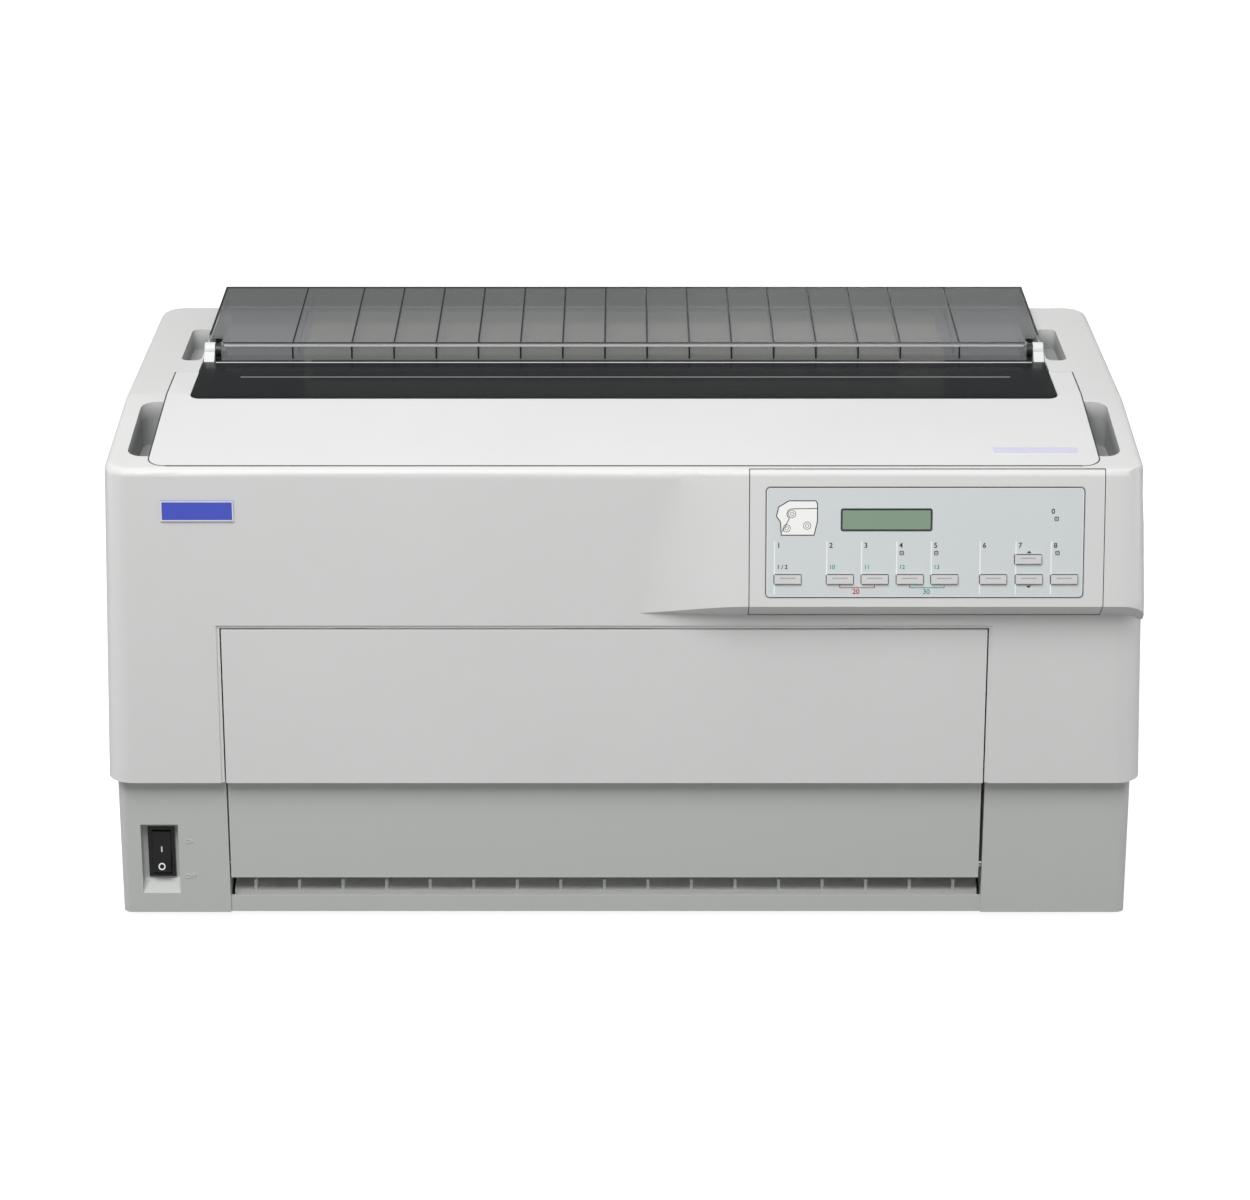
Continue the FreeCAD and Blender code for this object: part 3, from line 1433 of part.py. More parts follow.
save("idler_pulley", pulley(idler_pulley_x, motor_shaft_radius + pin_play))
save("carriage_motor", carriage_motor())
save("carriage_belt", carriage_belt())
save("front_tractor_shaft", tractor_shaft(front_shaft_y, front_shaft_z))
save("rear_tractor_shaft", tractor_shaft(rear_shaft_y, rear_shaft_z))
save("tractor_rods", tractor_rods())
for side, x in (("left", paper_centre - tractor_offset), ("right", paper_centre + tractor_offset)):
    save("front_tractor_" + side, tractor(x, front_shaft_y, front_shaft_z, front_shaft_y, front_rod_z,
                                          "front"))
    save("rear_tractor_" + side, tractor(x, rear_shaft_y, rear_shaft_z, rear_rod_y, rear_shaft_z, "top"))
save("power_supply", power_supply())
save("main_board", main_board())
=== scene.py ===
import json
from math import atan2, pi, radians, sin

import bmesh
import bpy
import numpy as np
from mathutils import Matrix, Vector
from mathutils.bvhtree import BVHTree


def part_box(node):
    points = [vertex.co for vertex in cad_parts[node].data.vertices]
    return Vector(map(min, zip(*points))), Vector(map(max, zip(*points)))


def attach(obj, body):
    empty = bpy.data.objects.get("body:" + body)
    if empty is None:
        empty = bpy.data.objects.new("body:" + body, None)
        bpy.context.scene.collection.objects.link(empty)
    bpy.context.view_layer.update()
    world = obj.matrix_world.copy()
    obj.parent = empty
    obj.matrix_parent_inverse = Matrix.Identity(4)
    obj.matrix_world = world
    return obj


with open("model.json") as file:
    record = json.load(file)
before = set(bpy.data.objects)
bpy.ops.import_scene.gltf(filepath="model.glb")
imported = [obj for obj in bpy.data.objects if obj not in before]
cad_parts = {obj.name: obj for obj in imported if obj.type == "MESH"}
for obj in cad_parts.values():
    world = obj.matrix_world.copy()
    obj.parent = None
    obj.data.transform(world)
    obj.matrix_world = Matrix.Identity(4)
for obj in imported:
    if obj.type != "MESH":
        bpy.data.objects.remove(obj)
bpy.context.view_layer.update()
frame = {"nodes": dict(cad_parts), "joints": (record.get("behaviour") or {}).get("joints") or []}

bl_info = {
    "name": "Wide-Carriage Printer Looks",
    "version": (1, 0, 0),
    "blender": (4, 5, 0),
    "location": "View3D > Sidebar > Printer",
    "description": "Finishes, panel printing, camera and light for a wide-carriage dot matrix printer",
    "category": "Object",
}

MM = 0.001
NODES = frame["nodes"]
AXES = {joint["name"]: joint["axis"] for joint in frame["joints"]}
BUTTONS = ["button_%d" % place for place in range(1, 10)]

# Roof of the casing: a straight slope from its front edge up to the kink, then level
ROOF_LOW = 325.0 * MM
ROOF_HIGH = 339.0 * MM
ROOF_FRONT = -172.0 * MM
ROOF_KINK = -46.0 * MM
ROOF_SLOPE = (ROOF_HIGH - ROOF_LOW) / (ROOF_KINK - ROOF_FRONT)

# Finger pockets beside the top cover: the space they lie in, and the painted shade that darkens them
POCKET_INNER = 298.5 * MM
POCKET_OUTER = 331.5 * MM
POCKET_FRONT = -156.0 * MM
POCKET_REAR = 124.0 * MM
POCKET_FLOOR = 290.0 * MM
POCKET_FADE = 11.0 * MM
POCKET_SHADE_TONE = (0.11, 0.125, 0.12)
POCKET_SHADE_SHARE = 0.6

# Keycaps: one row, with one key alone above it
KEY_WIDE = 17.5 * MM
KEY_TALL = 5.6 * MM
ROW_Z = 253.6 * MM
LONE_KEY = "button_9"
LONE_KEY_Z = 266.8 * MM

# Finishes that several pieces share
SMOOTH = dict(grain_scale=2500.0, height=0.05)
PRINTED = dict(roughness=0.5, grain_scale=3000.0, height=0.03)
BOARD_GREEN = (0.02, 0.12, 0.05)


def colour(name, text, default):
    """Setting for a colour"""
    return bpy.props.FloatVectorProperty(name=name, description=text, default=default, size=3,
                                         subtype="COLOR", min=0.0, max=1.0)


def length(name, text, default):
    """Setting for a length"""
    return bpy.props.FloatProperty(name=name, description=text, default=default, unit="LENGTH", min=0.0)


class PrinterColours(bpy.types.PropertyGroup):
    """Colours of the printer's finishes, in linear light"""
    casing: colour("Casing", "Upper housing, door and panel insert", (0.70, 0.705, 0.695))
    cover: colour("Cover", "Top cover and its arms", (0.735, 0.74, 0.735))
    base: colour("Base", "Base tray and the door's foot", (0.53, 0.545, 0.53))
    # Guide: colour lightened well past the base's grey as painted light, making up for the shade in the
    # recess it sits in
    guide: colour("Guide", "Ribbed front paper guide", (0.90, 0.91, 0.89))
    label: colour("Label", "Film on the control panel", (0.655, 0.695, 0.70))
    button: colour("Button", "Keycaps", (0.68, 0.675, 0.675))
    display: colour("Display", "Liquid crystal pane", (0.25, 0.345, 0.255))
    smoke: colour("Lid smoke", "Smoked rear lid", (0.300, 0.308, 0.312))
    window: colour("Window smoke", "Smoked window of the top cover", (0.016, 0.018, 0.019))
    core: colour("Core", "Thick dense parts of the smoked lid", (0.012, 0.013, 0.014))
    # Glint: colour of the painted highlight strips along edges of the smoked parts
    glint: colour("Glint", "Painted highlights on edges of the smoked parts", (0.62, 0.65, 0.66))
    seam: colour("Seam", "Shadow in the seams", (0.05, 0.05, 0.05))
    badge: colour("Badge", "Blank badge", (0.07, 0.10, 0.58))
    plate: colour("Plate", "Blank plate on the cover", (0.66, 0.66, 0.80))
    ink: colour("Ink", "Dark marks", (0.03, 0.03, 0.035))
    teal: colour("Teal", "Teal marks", (0.05, 0.30, 0.29))
    red: colour("Red", "Red marks", (0.42, 0.05, 0.06))
    hairline: colour("Hairline", "Pale marks", (0.90, 0.91, 0.92))
    deck: colour("Deck", "Deck under the rear lid", (0.46, 0.52, 0.55))
    beige: colour("Beige", "Rear paper guide", (0.80, 0.745, 0.64))


class PrinterSizes(bpy.types.PropertyGroup):
    """Sizes of the printed marks and of the view"""
    label_thick: length("Label thickness", "Film on the panel", 0.6 * MM)
    ink_rise: length("Ink rise", "Height of printed marks over the film", 0.04 * MM)
    line_width: length("Line width", "Width of outlines", 0.5 * MM)
    hairline_width: length("Hairline width", "Width of the pale lines", 0.8 * MM)
    digit_height: length("Digit height", "Size of the dark numerals", 4.7 * MM)
    small_height: length("Small digit height", "Size of the teal numerals", 3.9 * MM)
    badge_rim: length("Badge rim", "Bright rim round the badge", 0.9 * MM)
    camera_lens: length("Lens", "Focal length on a 36 mm wide sensor", 105.4 * MM)
    camera_x: length("Camera X", "Camera place to the right", 0.73 * MM)
    camera_back: length("Camera back", "Camera distance in front of the origin", 2.4618)
    camera_up: length("Camera up", "Camera height", 1.0675)
    camera_tilt: bpy.props.FloatProperty(name="Camera tilt", description="Angle below the horizon",
                                         default=radians(20.0), subtype="ANGLE")


def material(name):
    """New node material and its principled shader"""
    made = bpy.data.materials.new(name)
    made.use_nodes = True
    return made, made.node_tree.nodes["Principled BSDF"]


def add(tree, kind, **values):
    """New shader node: each value sets the input of its name, or else the node's own property"""
    node = tree.nodes.new(kind)
    for key, value in values.items():
        if key in node.inputs:
            node.inputs[key].default_value = value
        else:
            setattr(node, key, value)
    return node


def opaque(tone):
    """Colour with full cover"""
    return tuple(tone) + (1.0,)


def grain(made, shader, scale, height, distance):
    """Fine moulded grain: noise on object coordinates drives a bump"""
    tree = made.node_tree
    place = add(tree, "ShaderNodeTexCoord")
    noise = add(tree, "ShaderNodeTexNoise", Scale=scale, Detail=3.0, Roughness=0.6)
    bump = add(tree, "ShaderNodeBump", Strength=height, Distance=distance)
    tree.links.new(place.outputs["Object"], noise.inputs["Vector"])
    tree.links.new(noise.outputs["Fac"], bump.inputs["Height"])
    tree.links.new(bump.outputs["Normal"], shader.inputs["Normal"])
    return place


def mottle(made, shader, place, base, spread, scale):
    """Base colour and roughness that drift a little up and down with a broad noise"""
    tree = made.node_tree
    roughness = shader.inputs["Roughness"].default_value
    drift = 0.08
    noise = add(tree, "ShaderNodeTexNoise", Scale=scale, Detail=5.0, Roughness=0.55)
    ramp = add(tree, "ShaderNodeValToRGB")
    low, high = ramp.color_ramp.elements
    low.position = 0.3
    high.position = 0.7
    low.color = opaque(part * (1 - spread) for part in base)
    high.color = opaque(min(1.0, part * (1 + spread)) for part in base)
    finer, coarser = roughness * (1 - drift), min(1.0, roughness * (1 + drift))
    rough = ramped(tree, noise.outputs["Fac"], 0.0, 1.0, finer, coarser)
    tree.links.new(place.outputs["Object"], noise.inputs["Vector"])
    tree.links.new(noise.outputs["Fac"], ramp.inputs["Fac"])
    tree.links.new(ramp.outputs["Color"], shader.inputs["Base Color"])
    tree.links.new(rough, shader.inputs["Roughness"])


def moulded(name, base, roughness=0.5, grain_scale=1600.0, height=0.25, spread=0.012):
    """Grained plastic moulding"""
    made, shader = material(name)
    shader.inputs["Roughness"].default_value = roughness
    shader.inputs["Base Color"].default_value = opaque(base)
    place = grain(made, shader, grain_scale, height, distance=0.05 * MM)
    mottle(made, shader, place, base, spread, scale=9.0)
    return made


def metal(name, base, roughness, stretch=(1.0, 1.0, 1.0)):
    """Metal with fine brushing drawn out along one axis"""
    made, shader = material(name)
    shader.inputs["Metallic"].default_value = 1.0
    shader.inputs["Roughness"].default_value = roughness
    tree = made.node_tree
    place = add(tree, "ShaderNodeTexCoord")
    mapping = add(tree, "ShaderNodeMapping", Scale=stretch)
    noise = add(tree, "ShaderNodeTexNoise", Scale=300.0, Detail=4.0)
    bump = add(tree, "ShaderNodeBump", Strength=0.15, Distance=0.05 * MM)
    tree.links.new(place.outputs["Object"], mapping.inputs["Vector"])
    tree.links.new(mapping.outputs["Vector"], noise.inputs["Vector"])
    tree.links.new(noise.outputs["Fac"], bump.inputs["Height"])
    tree.links.new(bump.outputs["Normal"], shader.inputs["Normal"])
    mottle(made, shader, place, base, spread=0.06, scale=25.0)
    return made


def smoked(name, base, alpha, gloss):
    """Smoked clear plastic: dark glossy skin that lets part of the light through"""
    made, shader = material(name)
    shader.inputs["Roughness"].default_value = 0.16
    shader.inputs["Alpha"].default_value = alpha
    shader.inputs["Specular IOR Level"].default_value = gloss
    place = grain(made, shader, scale=900.0, height=0.06, distance=0.03 * MM)
    mottle(made, shader, place, base, spread=0.05, scale=6.0)
    return made


def position(tree):
    """Sockets X, Y and Z of the object coordinates"""
    place = add(tree, "ShaderNodeTexCoord")
    parts = add(tree, "ShaderNodeSeparateXYZ")
    tree.links.new(place.outputs["Object"], parts.inputs["Vector"])
    return parts.outputs


def math_node(tree, operation, *values):
    """Result of a Math node whose inputs are sockets or numbers"""
    node = add(tree, "ShaderNodeMath", operation=operation)
    for socket, value in zip(node.inputs, values):
        if isinstance(value, float):
            socket.default_value = value
        else:
            tree.links.new(value, socket)
    return node.outputs[0]


def ramped(tree, value, start, end, low, high):
    """Socket that runs from low at start to high at end, level on both sides"""
    limits = {"From Min": start, "From Max": end, "To Min": low, "To Max": high}
    rise = add(tree, "ShaderNodeMapRange", **limits)
    tree.links.new(value, rise.inputs["Value"])
    return rise.outputs["Result"]


def overpaint(made, tone, amount):
    """Mix a plain tone over a finish's own colour, by the socket amount"""
    tree = made.node_tree
    base = tree.nodes["Principled BSDF"].inputs["Base Color"]
    mix = add(tree, "ShaderNodeMix", data_type="RGBA")
    under, over = [socket for socket in mix.inputs if socket.type == "RGBA"]
    result = [socket for socket in mix.outputs if socket.type == "RGBA"][0]
    over.default_value = opaque(tone)
    tree.links.new(amount, mix.inputs[0])
    tree.links.new(base.links[0].from_socket, under)
    tree.links.new(result, base)
    return made


def denser_rear(made, alpha, rear_alpha, rear_shade_share, start, end):
    """Painted shade: let a smoked finish grow more opaque and darker between two depths, standing in for the
    dark inside seen through it
    """
    tree = made.node_tree
    shader = tree.nodes["Principled BSDF"]
    depth = position(tree)["Y"]
    tree.links.new(ramped(tree, depth, start, end, alpha, rear_alpha), shader.inputs["Alpha"])
    scale = add(tree, "ShaderNodeVectorMath", operation="SCALE")
    tree.links.new(shader.inputs["Base Color"].links[0].from_socket, scale.inputs[0])
    tree.links.new(ramped(tree, depth, start, end, 1.0, rear_shade_share), scale.inputs["Scale"])
    tree.links.new(scale.outputs["Vector"], shader.inputs["Base Color"])


def two_tone(made, lower, height):
    """Give a finish a second colour below a height"""
    tree = made.node_tree
    return overpaint(made, lower, math_node(tree, "LESS_THAN", position(tree)["Z"], height))


def pocket_shade(made):
    """Painted shade: darken the finish in the finger pockets, fading in with the depth under the roof"""
    tree = made.node_tree
    x, y, z = position(tree)
    across = math_node(tree, "ABSOLUTE", x)
    slope = math_node(tree, "MULTIPLY_ADD", y, ROOF_SLOPE, ROOF_LOW - ROOF_FRONT * ROOF_SLOPE)
    roof = math_node(tree, "MINIMUM", slope, ROOF_HIGH)
    amount = math_node(tree, "DIVIDE", math_node(tree, "SUBTRACT", roof, z), POCKET_FADE)
    amount.node.use_clamp = True
    limits = (("GREATER_THAN", across, POCKET_INNER), ("LESS_THAN", across, POCKET_OUTER),
              ("GREATER_THAN", y, POCKET_FRONT), ("LESS_THAN", y, POCKET_REAR),
              ("GREATER_THAN", z, POCKET_FLOOR))
    for limit in limits:
        amount = math_node(tree, "MULTIPLY", amount, math_node(tree, *limit))
    return overpaint(made, POCKET_SHADE_TONE, math_node(tree, "MULTIPLY", amount, POCKET_SHADE_SHARE))


def dress(node, made, rounded=True):
    """Put one finish on a node of the frame and shade its rounded parts smoothly"""
    touching = 0.002 * MM
    sharp = radians(32.0)
    thing = NODES[node]
    thing.data.materials.clear()
    thing.data.materials.append(made)
    if not rounded:
        return
    thing.data.polygons.foreach_set("use_smooth", [True] * len(thing.data.polygons))
    thing.modifiers.new("weld", "WELD").merge_threshold = touching
    thing.modifiers.new("edges", "EDGE_SPLIT").split_angle = sharp
    thing.modifiers.new("normals", "WEIGHTED_NORMAL").keep_sharp = True


def new_piece(name, points, faces, made, body):
    """New mesh object that rides on a body"""
    mesh = bpy.data.meshes.new(name)
    mesh.from_pydata([tuple(point) for point in points], [], [tuple(int(v) for v in face) for face in faces])
    mesh.update()
    mesh.materials.append(made)
    piece = bpy.data.objects.new(name, mesh)
    bpy.context.scene.collection.objects.link(piece)
    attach(piece, body)
    return piece


def thicken(piece, thickness, offset=0.0):
    """Give flat faces a thickness: half each way at offset 0, all of it behind them at offset -1"""
    solid = piece.modifiers.new("thickness", "SOLIDIFY")
    solid.thickness = thickness
    solid.offset = offset


BOX_FACES = np.array(((0, 1, 3, 2), (4, 6, 7, 5), (0, 4, 5, 1), (2, 3, 7, 6), (0, 2, 6, 4), (1, 5, 7, 3)))


def boxes_piece(name, boxes, made, body, lean=0.0, start=0.0):
    """One mesh of closed boxes x0, x1, y0, y1, z0, z1, each corner raised by lean times its y past start"""
    boxes = np.array(boxes, float)
    x, y, z = [index.ravel() for index in np.meshgrid((0, 1), (2, 3), (4, 5), indexing="ij")]
    points = np.stack([boxes[:, x], boxes[:, y], boxes[:, z]], axis=2).reshape(-1, 3)
    points[:, 2] += lean * (points[:, 1] - start)
    faces = (BOX_FACES + 8 * np.arange(len(boxes))[:, None, None]).reshape(-1, 4)
    return new_piece(name, points, faces, made, body)


def roof_height(y):
    """Height of the casing's roof at depth y: a straight slope up to the kink, then level"""
    return np.minimum(ROOF_HIGH, ROOF_LOW + (y - ROOF_FRONT) * ROOF_SLOPE)


def search_tree(node):
    """Faces of a node, ready for rays"""
    mesh = NODES[node].data
    return BVHTree.FromPolygons([vertex.co for vertex in mesh.vertices],
                                [tuple(polygon.vertices) for polygon in mesh.polygons])


def front_of(node, x, z):
    """Depth of a node's first surface met from the front, at each x and z"""
    faces = search_tree(node)
    return np.array([faces.ray_cast(Vector((a, -1.0, b)), Vector((0.0, 1.0, 0.0)))[0].y
                     for a, b in zip(np.ravel(x).tolist(), np.ravel(z).tolist())])


def top_of(node, x, y):
    """Height of a node's first surface met from above, at x and y"""
    return search_tree(node).ray_cast(Vector((x, y, 1.0)), Vector((0.0, 0.0, -1.0)))[0].z


def key_centre(name):
    """Middle of a keycap: x from its box, height from its row"""
    low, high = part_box(name)
    return (low.x + high.x) / 2, LONE_KEY_Z if name == LONE_KEY else ROW_Z


class PanelPlane:
    """Plane of the control panel's film, square to the way the buttons press"""

    def __init__(self, thick):
        self.out = -Vector(AXES["button_1_press"]).normalized()
        self.up = Vector((0.0, self.out.z, -self.out.y))
        low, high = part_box("panel_label")
        tilt = atan2(self.out.z, -self.out.y)
        self.start = Vector((0.0, low.y, low.z + thick * sin(tilt)))
        self.left, self.right = low.x, high.x

    def place(self, x, z, rise):
        """Points at x and height z: up the plane's slope to z, then rise along its outward normal"""
        along = (np.asarray(z, float) - self.start.z) / self.up.z
        points = along[..., None] * np.array(self.up) + rise * np.array(self.out) + np.array(self.start)
        points[..., 0] += x
        return points


class UprightFront:
    """Upright front of a node"""
    out = Vector((0.0, -1.0, 0.0))

    def __init__(self, node):
        self.node = node

    def place(self, x, z, rise):
        """Points at x and z: back to the node's surface, then rise forwards from it"""
        return np.column_stack([x, front_of(self.node, x, z) - rise, z])


def strip(path, width, closed):
    """Flat band of one width along a path: each corner is moved half the width both ways along its mitre"""
    path = np.asarray(path, float)
    if closed:
        before, after = np.roll(path, 1, axis=0), np.roll(path, -1, axis=0)
    else:
        before = np.vstack([2 * path[0] - path[1], path[:-1]])
        after = np.vstack([path[1:], 2 * path[-1] - path[-2]])
    come = path - before
    go = after - path
    come /= np.linalg.norm(come, axis=1)[:, None]
    go /= np.linalg.norm(go, axis=1)[:, None]
    side_in = np.stack([-come[:, 1], come[:, 0]], axis=1)
    side_out = np.stack([-go[:, 1], go[:, 0]], axis=1)
    mitre = side_in + side_out
    mitre /= np.sum(mitre * side_in, axis=1)[:, None]
    points = np.vstack([path - mitre * width / 2, path + mitre * width / 2])
    count = len(path)
    first = np.arange(count if closed else count - 1)
    second = (first + 1) % count
    return points, np.stack([first, second, second + count, first + count], axis=1)


def rounded_path(x0, x1, z0, z1, radius, inset):
    """Closed path round a rectangle, moved inwards by inset: a quarter of a circle at each corner"""
    radius = max(radius - inset, 0.1 * MM)
    near = inset + radius
    left, right, low, high = x0 + near, x1 - near, z0 + near, z1 - near
    centres = ((right, high), (left, high), (left, low), (right, low))
    corners = []
    for quarter, (x, z) in enumerate(centres):
        turn = np.linspace(0.0, pi / 2, 5) + quarter * pi / 2
        corners.append(np.column_stack([x + radius * np.cos(turn), z + radius * np.sin(turn)]))
    return np.vstack(corners)


def around(centre, half_wide, half_tall):
    """Limits x0, x1, z0, z1 of a rectangle round its centre"""
    x, z = centre
    return x - half_wide, x + half_wide, z - half_tall, z + half_tall


def circle(x, z, radius, count=28):
    """Closed path: centre plus radius times cosine and sine of an even angle"""
    turn = np.linspace(0, 2 * pi, count, endpoint=False)
    return np.stack([x + radius * np.cos(turn), z + radius * np.sin(turn)], axis=1)


class Marks:
    """Collects flat shapes on a surface and makes one thin closed mesh of them"""

    def __init__(self, surface, rise):
        self.surface, self.rise = surface, rise
        self.points, self.faces, self.count = [], [], 0

    def take(self, points, faces):
        """Add flat faces, their points given as x and z, at the rise over the surface"""
        self.points.append(self.surface.place(points[:, 0], points[:, 1], self.rise))
        self.faces += [tuple(int(v) + self.count for v in face) for face in faces]
        self.count += len(points)

    def line(self, path, width, closed=False):
        """Add a band along a path"""
        self.take(*strip(path, width, closed))

    def area(self, outline):
        """Add the face inside an outline"""
        self.take(np.asarray(outline, float), [tuple(range(len(outline)))])

    def text(self, words, x, z, height):
        """Add letters of the plain built-in font, scaled to height, lower left corner at x and z"""
        bolder_share = 0.02
        curve = bpy.data.curves.new("letters", "FONT")
        curve.body = words
        curve.size = height
        curve.offset = height * bolder_share
        thing = bpy.data.objects.new("letters", curve)
        mesh = bpy.data.meshes.new_from_object(thing)
        flat = np.zeros(len(mesh.vertices) * 3)
        mesh.vertices.foreach_get("co", flat)
        flat = flat.reshape(-1, 3)[:, :2] + np.array([x, z])
        self.take(flat, [tuple(polygon.vertices) for polygon in mesh.polygons])
        bpy.data.objects.remove(thing)
        bpy.data.meshes.remove(mesh)
        bpy.data.curves.remove(curve)

    def make(self, name, made, slot):
        """Make the piece: faces turned outwards, then thickened back to the surface"""
        piece = new_piece(name, np.vstack(self.points), self.faces, made, "chassis")
        form = bmesh.new()
        form.from_mesh(piece.data)
        bmesh.ops.recalc_face_normals(form, faces=form.faces)
        for face in form.faces:
            if face.normal.dot(self.surface.out) < 0:
                face.normal_flip()
        form.to_mesh(piece.data)
        form.free()
        thicken(piece, self.rise, -1.0)


class PRINTER_OT_casing(bpy.types.Operator):
    """Finish the housing, base, covers, door and guides"""
    bl_idname = "printer.casing"
    bl_label = "Casing"

    def execute(self, context):
        colours = context.scene.printer_colours
        casing_roughness = 0.48
        door_foot = 104.5 * MM
        door = moulded("door_moulding", colours.casing, casing_roughness)
        dress("control_panel_bezel", moulded("casing_moulding", colours.casing, casing_roughness))
        # The housing's finger pockets get painted shade, darker with the depth under the roof
        dress("upper_housing", pocket_shade(moulded("housing_moulding", colours.casing, casing_roughness)))
        dress("front_door", two_tone(door, colours.base, door_foot))
        cover = moulded("cover_moulding", colours.cover, roughness=0.45)
        for node in ("top_cover", "cover_arm_left", "cover_arm_right"):
            dress(node, cover)
        dress("base_tray", moulded("base_moulding", colours.base, roughness=0.52))
        # Painted light: the guide's colour is lightened against the shade of its recess
        dress("front_paper_guide", moulded("guide_front_painted_light", colours.guide))
        dress("rubber_feet", moulded("foot_rubber", (0.02, 0.02, 0.02), 0.8, grain_scale=900.0, height=0.5))
        dress("rear_deck", moulded("deck_moulding", colours.deck))
        dress("rear_paper_guide", moulded("guide_moulding", colours.beige))
        dress("model_plate", moulded("plate_foil", colours.plate, 0.3, grain_scale=2500.0, height=0.1))
        return {"FINISHED"}


class PRINTER_OT_smoked_parts(bpy.types.Operator):
    """Finish the smoked window and rear lid, with their dark lines, painted rear shade and painted edge
    highlights
    """
    bl_idname = "printer.smoked_parts"
    bl_label = "Smoked parts"

    def execute(self, context):
        colours = context.scene.printer_colours
        lid_alpha = 0.5
        lid = smoked("lid_smoke", colours.smoke, lid_alpha, gloss=0.4)
        # Painted shade: the lid's rear strip turns more opaque and darker, standing in for the dark inside of
        # the printer under it
        denser_rear(lid, lid_alpha, rear_alpha=0.9, rear_shade_share=0.42, start=128.0 * MM, end=140.0 * MM)
        dress("rear_lid", lid)
        dress("cover_window", smoked("window_smoke", colours.window, alpha=0.8, gloss=0.06))
        dress("hinge_brackets", moulded("bracket_black", (0.02, 0.02, 0.022), roughness=0.4))
        self.dark_lines(colours)
        self.bright_edges(colours)
        return {"FINISHED"}

    def dark_lines(self, colours):
        """Thin boxes over the lid's ribs, flanges and edges, on its sloping top and its upright front"""
        dense = moulded("lid_core", colours.core, 0.4, spread=0.03, **SMOOTH)
        low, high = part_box("rear_lid")
        proud, deep = 0.02 * MM, 0.3 * MM
        face_low, face_high, crest = 338.2 * MM, 346.9 * MM, 349.0 * MM
        slope = (high.z - crest) / (high.y - low.y)
        middle, pitch, half = -13.5 * MM, 30.0 * MM, 0.6 * MM
        end_pitch = 1.4 * pitch
        places = [middle + step * pitch for step in range(-6, 8)]
        ribs = [places[0] - end_pitch] + places + [places[-1] + end_pitch]
        rib_front = 49.0 * MM
        flange_in, flange_out, flange_front = 295.4 * MM, 296.95 * MM, 66.0 * MM
        front_half, front_near, front_far = 285.0 * MM, 45.4 * MM, 48.6 * MM
        rear_half, rear_wide = 296.9 * MM, 3.0 * MM
        rear = high.y - 1.5 * MM
        spans = [(x - half, x + half, rib_front, rear - 0.5 * MM) for x in ribs]
        spans += [(-flange_out, -flange_in, flange_front, rear), (flange_in, flange_out, flange_front, rear),
                  (-front_half, front_half, front_near, front_far),
                  (-rear_half, rear_half, rear - rear_wide, rear)]
        level = (crest + proud - deep, crest + proud)
        boxes_piece("lid_lines", [span + level for span in spans], dense, "rear_lid", slope, low.y)
        face = (low.y - proud, low.y + deep, face_low, face_high)
        uprights = [(x - half, x + half) + face for x in ribs]
        boxes_piece("lid_front_lines", uprights, dense, "rear_lid")

    def bright_edges(self, colours):
        """Painted highlights along the lid's top front edge and the window's rear edge, and the pale cross
        bar under the window
        """
        glint = moulded("smoke_edge_highlight", colours.glint, 0.2, grain_scale=2500.0, height=0.03, spread=0.02)
        bar = moulded("cross_bar", (0.28, 0.29, 0.29), 0.4, spread=0.03, **SMOOTH)
        proud = 0.04 * MM
        lid_half, window_half = 284.0 * MM, 289.0 * MM
        edge_low, edge_high = 347.2 * MM, 348.4 * MM
        bar_left, bar_right, bar_front, bar_rear = -268.0 * MM, 270.0 * MM, -5.4 * MM, -3.6 * MM
        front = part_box("rear_lid")[0].y
        # Painted highlight strip along the lid's top front edge
        lid_highlight = (-lid_half, lid_half, front - proud, front + 0.5 * MM, edge_low, edge_high)
        boxes_piece("lid_front_highlight", [lid_highlight], glint, "rear_lid")
        rear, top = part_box("cover_window")[1].yz
        # Painted highlight strip along the window's rear edge
        window_highlight = (-window_half, window_half, rear - 3.4 * MM, rear - 0.9 * MM,
                       top - 0.3 * MM, top + proud)
        boxes_piece("window_rear_highlight", [window_highlight], glint, "top_cover")
        cross = (bar_left, bar_right, bar_front, bar_rear, top - 0.5 * MM, top + proud / 2)
        boxes_piece("window_cross_bar", [cross], bar, "top_cover")


